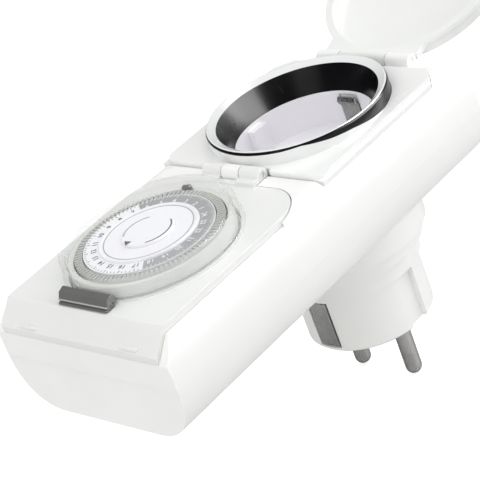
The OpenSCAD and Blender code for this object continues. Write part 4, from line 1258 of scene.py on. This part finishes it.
@dataclass
class Dial(SubAssembly):
    """Numbered dial with its knob, print and ring of tappets."""

    disc_edge_mm: float = 0.05
    knob_edge_mm: float = 0.12
    tappet_edge_mm: float = 0.12
    ink: float = 0.03 * MM
    hours: int = 24
    ticks_per_hour: int = 4
    midnight_deg: float = 45.0
    night_from: float = 17.5
    night_to: float = 6.5
    # numbered ring: below the disc's top, out from the knob, and its own width
    ring_sunk: float = 0.4 * MM
    ring_gap: float = 6.3 * MM
    ring_width: float = 3.9 * MM
    numeral_size: float = 2.1 * MM
    numeral_inset: float = 1.15 * MM
    numeral_steps: int = 3
    hour_tick: float = 1.1 * MM
    quarter_tick: float = 0.6 * MM
    tick_margin: float = 0.1 * MM
    tick_half: float = 0.09 * MM
    # raised rim: in from the numbered ring, and its outline as millimetres inwards and up
    rim_gap: float = 0.15 * MM
    rim_outline: tuple[Point2, ...] = ((0.9, -0.05), (0.1, -0.05), (0.0, 0.04), (0.2, 0.22),
                                       (0.6, 0.22), (0.9, 0.06))
    line_outer: float = 1.2 * MM
    line_inner: float = 1.5 * MM
    arc_inset: float = 0.8 * MM
    arc_half: float = 0.2 * MM
    arc_steps: int = 48
    arcs: tuple[Arc, ...] = (Arc("knob_arc_far", 128.0, 92.0, PRINT_GREY),
                             Arc("knob_arc_near", -52.0, 110.0, DIAL_INK))
    arrow_deg: float = -107.0
    arrow_length: float = 2.2 * MM
    arrow_half: float = 0.95 * MM
    # tappets that move by themselves, and the step round the dial where the first stands
    moving_tappets: int = 8
    first_step: int = 8

    def eased(self) -> Iterable[Ease]:
        """Lists the dial, its knob and the moving tappets.

        Returns:
            How each CAD node is dressed.
        """
        return (
            Ease("dial_disc", DIAL_WHITE, Slot.DIAL, self.disc_edge_mm),
            Ease("dial_knob", DIAL_WHITE, Slot.DIAL, self.knob_edge_mm),
            *(Ease(f"tappet_{number}", TAPPET_GREY, Slot.TAPPET, self.tappet_edge_mm)
              for number in range(1, self.moving_tappets + 1)),
        )

    def details(self) -> None:
        """Adds the print, the raised rim and the fixed tappets."""
        self.night_band()
        self.numerals()
        self.tick_marks()
        self.centre_marks()
        self.tappet_ring()

    @cached_property
    def centre(self) -> Vector:
        """The point of the dial's axis at height 0."""
        return Vector((0.0, Span.of("dial_arbor").centre.y, 0.0))

    @cached_property
    def top_z(self) -> float:
        """Height of the disc's top."""
        return Span.of("dial_disc").high.z

    @cached_property
    def ring_z(self) -> float:
        """Height of the numbered ring's face."""
        return self.top_z - self.ring_sunk

    @cached_property
    def knob(self) -> Span:
        """The knob's box."""
        return Span.of("dial_knob")

    @cached_property
    def ring_inner(self) -> float:
        """Inner radius of the numbered ring."""
        return self.knob.radius + self.ring_gap

    @cached_property
    def ring_outer(self) -> float:
        """Outer radius of the numbered ring."""
        return self.ring_inner + self.ring_width

    def at(self, height: float) -> Vector:
        """A point on the dial's axis."""
        return Vector((self.centre.x, self.centre.y, height))

    def hour_deg(self, hour: float) -> float:
        """Angle of an hour on the dial, which runs against the dial's turning."""
        return self.midnight_deg + FULL_TURN_DEG / self.hours * hour

    def half_of(self, hour: float) -> Half:
        """The half that an hour lies on.

        Args:
            hour: hours from midnight.

        Returns:
            The light or the dark half.
        """
        of_day = hour % self.hours
        dark = of_day >= self.night_from or of_day <= self.night_to
        return Half.NIGHT if dark else Half.DAY

    def night_band(self) -> None:
        """Prints the dark half of the numbered ring."""
        start = self.hour_deg(self.night_from)
        sweep = self.hour_deg(self.night_to + self.hours) - start
        band = flat_band("dial_night_band", self.at(self.ring_z), self.ring_inner,
                         self.ring_outer, self.ink, start, sweep)
        self.fitter.dress(band, NIGHT_GREY, Slot.DIAL, Body.DIAL)

    def numerals(self) -> None:
        """Prints the hours, dark on the light half and white on the dark half."""
        radius = self.ring_inner + self.numeral_inset
        for half in Half:
            mesh = bmesh.new()
            for hour in range(1, self.hours + 1):
                if self.half_of(hour) is not half:
                    continue
                letters = self.figure(str(hour))
                turn = math.radians(self.hour_deg(hour))
                spin = Matrix.Rotation(turn - math.pi / 2, 4, "Z")
                spot = Vector((math.cos(turn), math.sin(turn), 0.0)) * radius
                place = Matrix.Translation(self.at(self.ring_z + 2 * self.ink) + spot) @ spin
                letters.transform(place)
                mesh.from_mesh(letters)
                bpy.data.meshes.remove(letters)
            piece = finish_mesh(f"dial_{half.value}_hours", mesh)
            self.fitter.dress(piece, half.ink, Slot.DIAL, Body.DIAL)

    def figure(self, text: str) -> bpy.types.Mesh:
        """A thin solid number, centred on the origin.

        Args:
            text: the number.

        Returns:
            Its mesh.
        """
        curve = bpy.data.curves.new("figure", "FONT")
        curve.body = text
        curve.size = self.numeral_size
        curve.extrude = self.ink
        curve.align_x = "CENTER"
        curve.align_y = "CENTER"
        curve.resolution_u = self.numeral_steps
        holder = bpy.data.objects.new("figure", curve)
        bpy.context.scene.collection.objects.link(holder)
        graph = bpy.context.evaluated_depsgraph_get()
        letters = bpy.data.meshes.new_from_object(holder.evaluated_get(graph))
        bpy.data.objects.remove(holder)
        bpy.data.curves.remove(curve)
        return letters

    def tick_marks(self) -> None:
        """Prints a short line for each tappet, longer at the full hours."""
        for half in Half:
            mesh = bmesh.new()
            for step in range(self.hours * self.ticks_per_hour):
                hour = step / self.ticks_per_hour
                if self.half_of(hour) is half:
                    full = step % self.ticks_per_hour == 0
                    self.tick(mesh, hour, self.hour_tick if full else self.quarter_tick)
            piece = finish_mesh(f"dial_{half.value}_ticks", mesh)
            self.fitter.dress(piece, half.ink, Slot.DIAL, Body.DIAL)

    def tick(self, mesh: bmesh.types.BMesh, hour: float, length: float) -> None:
        """Adds one thin radial line at the numbered ring's outer edge.

        Args:
            mesh: the geometry to add to.
            hour: the hour that it marks.
            length: how far it reaches in from the edge.
        """
        turn = math.radians(self.hour_deg(hour))
        along = Vector((math.cos(turn), math.sin(turn)))
        side = Vector((-along.y, along.x)) * self.tick_half
        inner, outer = self.ring_outer - length, self.ring_outer - self.tick_margin
        middle = self.centre.to_2d()
        corners = (along * inner - side, along * outer - side, along * outer + side,
                   along * inner + side)
        low = self.ring_z + self.ink / 2
        prism(mesh, [tuple(middle + corner) for corner in corners], low, low + self.ink)

    def centre_marks(self) -> None:
        """Adds the raised rim, the thin line inside it, the knob's arcs and its arrow."""
        rim = self.ring_inner - self.rim_gap
        outline = [(rim - inwards * MM, up * MM) for inwards, up in self.rim_outline]
        raised = lathe("dial_centre_rim", self.at(self.top_z), outline)
        self.fitter.dress(raised, DIAL_WHITE, Slot.DIAL, Body.DIAL)
        line = flat_band("dial_centre_line", self.at(self.top_z), rim - self.line_inner,
                         rim - self.line_outer, self.ink)
        self.fitter.dress(line, PRINT_GREY, Slot.DIAL, Body.DIAL)
        radius = self.knob.radius - self.arc_inset
        for arc in self.arcs:
            piece = flat_band(arc.name, self.at(self.knob.high.z), radius - self.arc_half,
                              radius + self.arc_half, self.ink, arc.start_deg, arc.sweep_deg,
                              self.arc_steps)
            self.fitter.dress(piece, arc.ink, Slot.DIAL, Body.DIAL)
        self.arrow(radius)

    def arrow(self, radius: float) -> None:
        """Prints the arrowhead that points the way the dial turns.

        Args:
            radius: the arrow's distance from the dial's axis.
        """
        turn = math.radians(self.arrow_deg)
        out = Vector((math.cos(turn), math.sin(turn)))
        ahead = Vector((out.y, -out.x))
        middle = self.centre.to_2d() + out * radius
        tip = middle + ahead * self.arrow_length / 2
        tail = middle - ahead * self.arrow_length / 2
        corners = (tip, tail + out * self.arrow_half, tail - out * self.arrow_half)
        mesh = bmesh.new()
        prism(mesh, [tuple(corner) for corner in corners], self.knob.high.z - self.ink / 2,
              self.knob.high.z + self.ink)
        self.fitter.dress(finish_mesh("knob_arrow", mesh), DIAL_INK, Slot.DIAL, Body.DIAL)

    def tappet_ring(self) -> None:
        """Repeats one eased tappet round the dial for the joined ones."""
        source = eased_copy(self.fitter.frame, "tappet_1", self.tappet_edge_mm * MM)
        source.name = "tappet_ring_dressed"
        steps = self.hours * self.ticks_per_hour
        pitch = 2 * math.pi / steps
        to_start = Matrix.Rotation(-self.first_step * pitch, 4, "Z")
        source.data.transform(to_start @ Matrix.Translation(-self.centre))
        repeat_round(source, self.fitter.ring, {
            "Centre": self.centre, "Count": steps - self.moving_tappets,
            "First Angle": (self.first_step + self.moving_tappets) * pitch, "Pitch": pitch,
            "Material": self.fitter.shop.get(TAPPET_GREY)})
        self.fitter.dress(source, TAPPET_GREY, Slot.TAPPET, Body.DIAL, "tappet_ring")


@dataclass(frozen=True)
class Edge:
    """A rounded strip along the latch's near side, placed from the latch's box."""

    name: str
    finish: Plastic
    below: float
    ahead: float
    radius: float
    squash: float


@dataclass
class DialLid(SubAssembly):
    """Frosted lid with its clear dome, hinge pin and latch."""

    lid_edge_mm: float = 0.4
    dome_edge_mm: float = 0.3
    latch_edge_mm: float = 0.35
    spring_edge_mm: float = 0.02
    # the lid's sloping front: run and rise of its slope, and its foot above the lid's lowest point
    front_run: float = 5.4
    front_rise: float = 5.7
    front_foot: float = 2.0 * MM
    nib_climb: float = 1.1 * MM
    nib_aside: float = 18.5 * MM
    nib_half: float = 2.6 * MM
    nib_radius: float = 0.6 * MM
    nib_squash: float = 0.75
    latch_trim: tuple[Edge, ...] = (
        # a dark lip at the latch's near foot, wide enough to paint the shade in front of the latch
        Edge("latch_lip_and_shade", LATCH_GREY, below=3.08 * MM, ahead=0.25 * MM, radius=0.6 * MM,
             squash=0.5),
        # a pale bead that paints the highlight along the latch's crease
        Edge("latch_crease_highlight", LATCH_CREASE_HIGHLIGHT, below=2.3 * MM, ahead=0.0, radius=0.24 * MM,
             squash=1.0))

    def eased(self) -> Iterable[Ease]:
        """Lists the lid, its dome, its hinge pin and the latch's pieces.

        Returns:
            How each CAD node is dressed.
        """
        return (
            Ease("timer_lid", LID_FROSTED, Slot.LID, self.lid_edge_mm, FINE),
            Ease("timer_window", WINDOW_CLEAR, Slot.WINDOW, self.dome_edge_mm, FINE),
            Ease("timer_hinge_pin", ZINC, Slot.ZINC),
            Ease("latch", LATCH_GREY, Slot.LATCH, self.latch_edge_mm, FINE),
            Ease("latch_pin", BLACKED_STEEL, Slot.ZINC),
            Ease("latch_spring", ZINC, Slot.ZINC, self.spring_edge_mm),
        )

    def details(self) -> None:
        """Adds the lid's two low finger nibs, the latch's dark lip, which also paints the shade in
        front of the latch, and a pale bead that paints a highlight on its crease.
        """
        self.nibs()
        self.latch_edges()

    def nibs(self) -> None:
        """Adds the two low nibs on the lid's sloping front."""
        lid = Span.of("timer_lid")
        slope = Vector((0.0, self.front_run, self.front_rise)).normalized()
        outward = Vector((0.0, -slope.z, slope.y))
        foot = Vector((0.0, lid.low.y, lid.low.z + self.front_foot)) + slope * self.nib_climb
        half = Vector((self.nib_half, 0.0, 0.0))
        for name, side in (("lid_nib_left", -1), ("lid_nib_right", 1)):
            middle = foot + Vector((side * self.nib_aside, 0.0, 0.0))
            nib = pill(name, middle - half, middle + half, self.nib_radius, self.nib_squash,
                       outward)
            self.fitter.dress(nib, LID_FROSTED, Slot.LID, Body.TIMER_LID)

    def latch_edges(self) -> None:
        """Adds the latch's dark lip, which also paints the shade in front of it, and above it a
        pale bead that paints the crease's highlight.
        """
        latch = Span.of("latch")
        for edge in self.latch_trim:
            middle = Vector((0.0, latch.low.y - edge.ahead, latch.high.z - edge.below))
            half = Vector((latch.radius - edge.radius, 0.0, 0.0))
            piece = pill(edge.name, middle - half, middle + half, edge.radius, edge.squash)
            self.fitter.dress(piece, edge.finish, Slot.LATCH, Body.LATCH)


@dataclass
class OutletLid(SubAssembly):
    """Round frosted lid of the outlet and its hinge pin."""

    lid_edge_mm: float = 0.4

    def eased(self) -> Iterable[Ease]:
        """Lists the outlet lid's pieces.

        Returns:
            How each CAD node is dressed.
        """
        return (
            Ease("socket_lid", LID_FROSTED, Slot.LID, self.lid_edge_mm, FINE),
            Ease("socket_hinge_pin", ZINC, Slot.ZINC),
        )


# ---------------------------------------------------------------- studio


@dataclass(frozen=True)
class Panel:
    """A soft square light that faces the origin."""

    name: str
    place: tuple[float, float, float]
    size: float
    power: float
    mirrored_only: bool = False


@dataclass
class Studio:
    """Floor, soft lights and the camera."""

    camera_at: tuple[float, float, float] = (341.2 * MM, -312.3 * MM, 279.7 * MM)
    yaw_deg: float = 50.9
    pitch_deg: float = 27.7
    roll_deg: float = -21.4
    focal_px: float = 1893.1
    frame_px: float = 480.0
    sensor_mm: float = 36.0
    nearest: float = 0.01
    farthest: float = 50.0
    floor_gap: float = 0.4 * MM
    floor_half: float = 6.0
    floor_tone: float = 0.62
    floor_roughness: float = 0.9
    floor_glow: float = 0.65
    sky: float = 0.92
    mirrored_sky: float = 0.08
    panels: tuple[Panel, ...] = (
        Panel("key", (0.45, 0.65, 0.4), 0.45, 1.1),
        Panel("over", (0.1, 0.45, 0.75), 0.35, 1.0),
        Panel("fill", (0.2, -0.6, 0.6), 0.5, 1.5),
        Panel("sheen", (0.55, 0.45, 0.34), 0.9, 44.0, mirrored_only=True))

    def build(self) -> None:
        """Makes the floor, the lights, the world and the camera."""
        self.floor()
        self.lights()
        self.camera()

    def floor(self) -> None:
        """Lays a pale floor just below the lowest point of the object."""
        low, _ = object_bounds()
        mesh = bmesh.new()
        corners = ((-1, -1), (1, -1), (1, 1), (-1, 1))
        mesh.faces.new([mesh.verts.new((x * self.floor_half, y * self.floor_half,
                                        low.z - self.floor_gap)) for x, y in corners])
        piece = finish_mesh("studio_floor", mesh)
        material = bpy.data.materials.new("studio_floor")
        material.use_nodes = True
        tree = Tree(material.node_tree)
        shader = tree.find("BSDF_PRINCIPLED")
        shader.inputs["Base Color"].default_value = (*[self.floor_tone] * 3, 1.0)
        shader.inputs["Roughness"].default_value = self.floor_roughness
        shader.inputs["Emission Color"].default_value = (1.0, 1.0, 1.0, 1.0)
        path = tree.add("ShaderNodeLightPath")
        glow = tree.remap(path.outputs["Is Camera Ray"], 0.0, 1.0, 0.0, self.floor_glow)
        tree.link(glow, shader.inputs["Emission Strength"])
        piece.data.materials.append(material)
        piece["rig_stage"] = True

    def lights(self) -> None:
        """Lights the world evenly and hangs soft panels round the object."""
        world = bpy.data.worlds.new("studio_world")
        world.use_nodes = True
        tree = Tree(world.node_tree)
        sky = tree.find("BACKGROUND")
        sky.inputs["Color"].default_value = (1.0, 1.0, 1.0, 1.0)
        path = tree.add("ShaderNodeLightPath")
        strength = tree.remap(path.outputs["Is Glossy Ray"], 0.0, 1.0, self.sky,
                              self.mirrored_sky)
        tree.link(strength, sky.inputs["Strength"])
        bpy.context.scene.world = world
        for panel in self.panels:
            lamp = bpy.data.lights.new("studio_" + panel.name, "AREA")
            lamp.shape = "SQUARE"
            lamp.size = panel.size
            lamp.energy = panel.power
            rig = bpy.data.objects.new("studio_" + panel.name, lamp)
            rig.location = panel.place
            rig.rotation_euler = (-Vector(panel.place)).to_track_quat("-Z", "Y").to_euler()
            rig.visible_diffuse = not panel.mirrored_only
            bpy.context.scene.collection.objects.link(rig)

    def camera(self) -> None:
        """Places the camera and keeps its colours unfiltered."""
        yaw, pitch, roll = (math.radians(v) for v in
                            (self.yaw_deg, self.pitch_deg, self.roll_deg))
        back = Vector((math.sin(yaw) * math.cos(pitch), -math.cos(yaw) * math.cos(pitch),
                       math.sin(pitch)))
        level = (-back).cross(Vector((0, 0, 1))).normalized()
        upright = level.cross(-back)
        right = level * math.cos(roll) + upright * math.sin(roll)
        up = upright * math.cos(roll) - level * math.sin(roll)
        turn = Matrix((right, up, back)).transposed()
        data = bpy.data.cameras.new("studio_camera")
        data.sensor_width = self.sensor_mm
        data.lens = self.focal_px / self.frame_px * self.sensor_mm
        data.clip_start = self.nearest
        data.clip_end = self.farthest
        rig = bpy.data.objects.new("studio_camera", data)
        rig.matrix_world = Matrix.Translation(Vector(self.camera_at)) @ turn.to_4x4()
        bpy.context.scene.collection.objects.link(rig)
        bpy.context.scene.camera = rig
        bpy.context.scene.view_settings.view_transform = "Standard"


# ---------------------------------------------------------------- assembly


GROUPS: tuple[type[SubAssembly], ...] = (
    Shells, Plug, Conductors, Outlet, Switch, Movement, Dial, DialLid, OutletLid)


def main() -> None:
    """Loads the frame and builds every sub-assembly."""
    logging.basicConfig(level=logging.INFO, format="%(name)s: %(message)s")
    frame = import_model()
    fitter = Fitter(frame, FinishShop(), ring_group())
    for group in GROUPS:
        group(fitter).build()
    Studio().build()


if __name__ == "__main__":
    main()
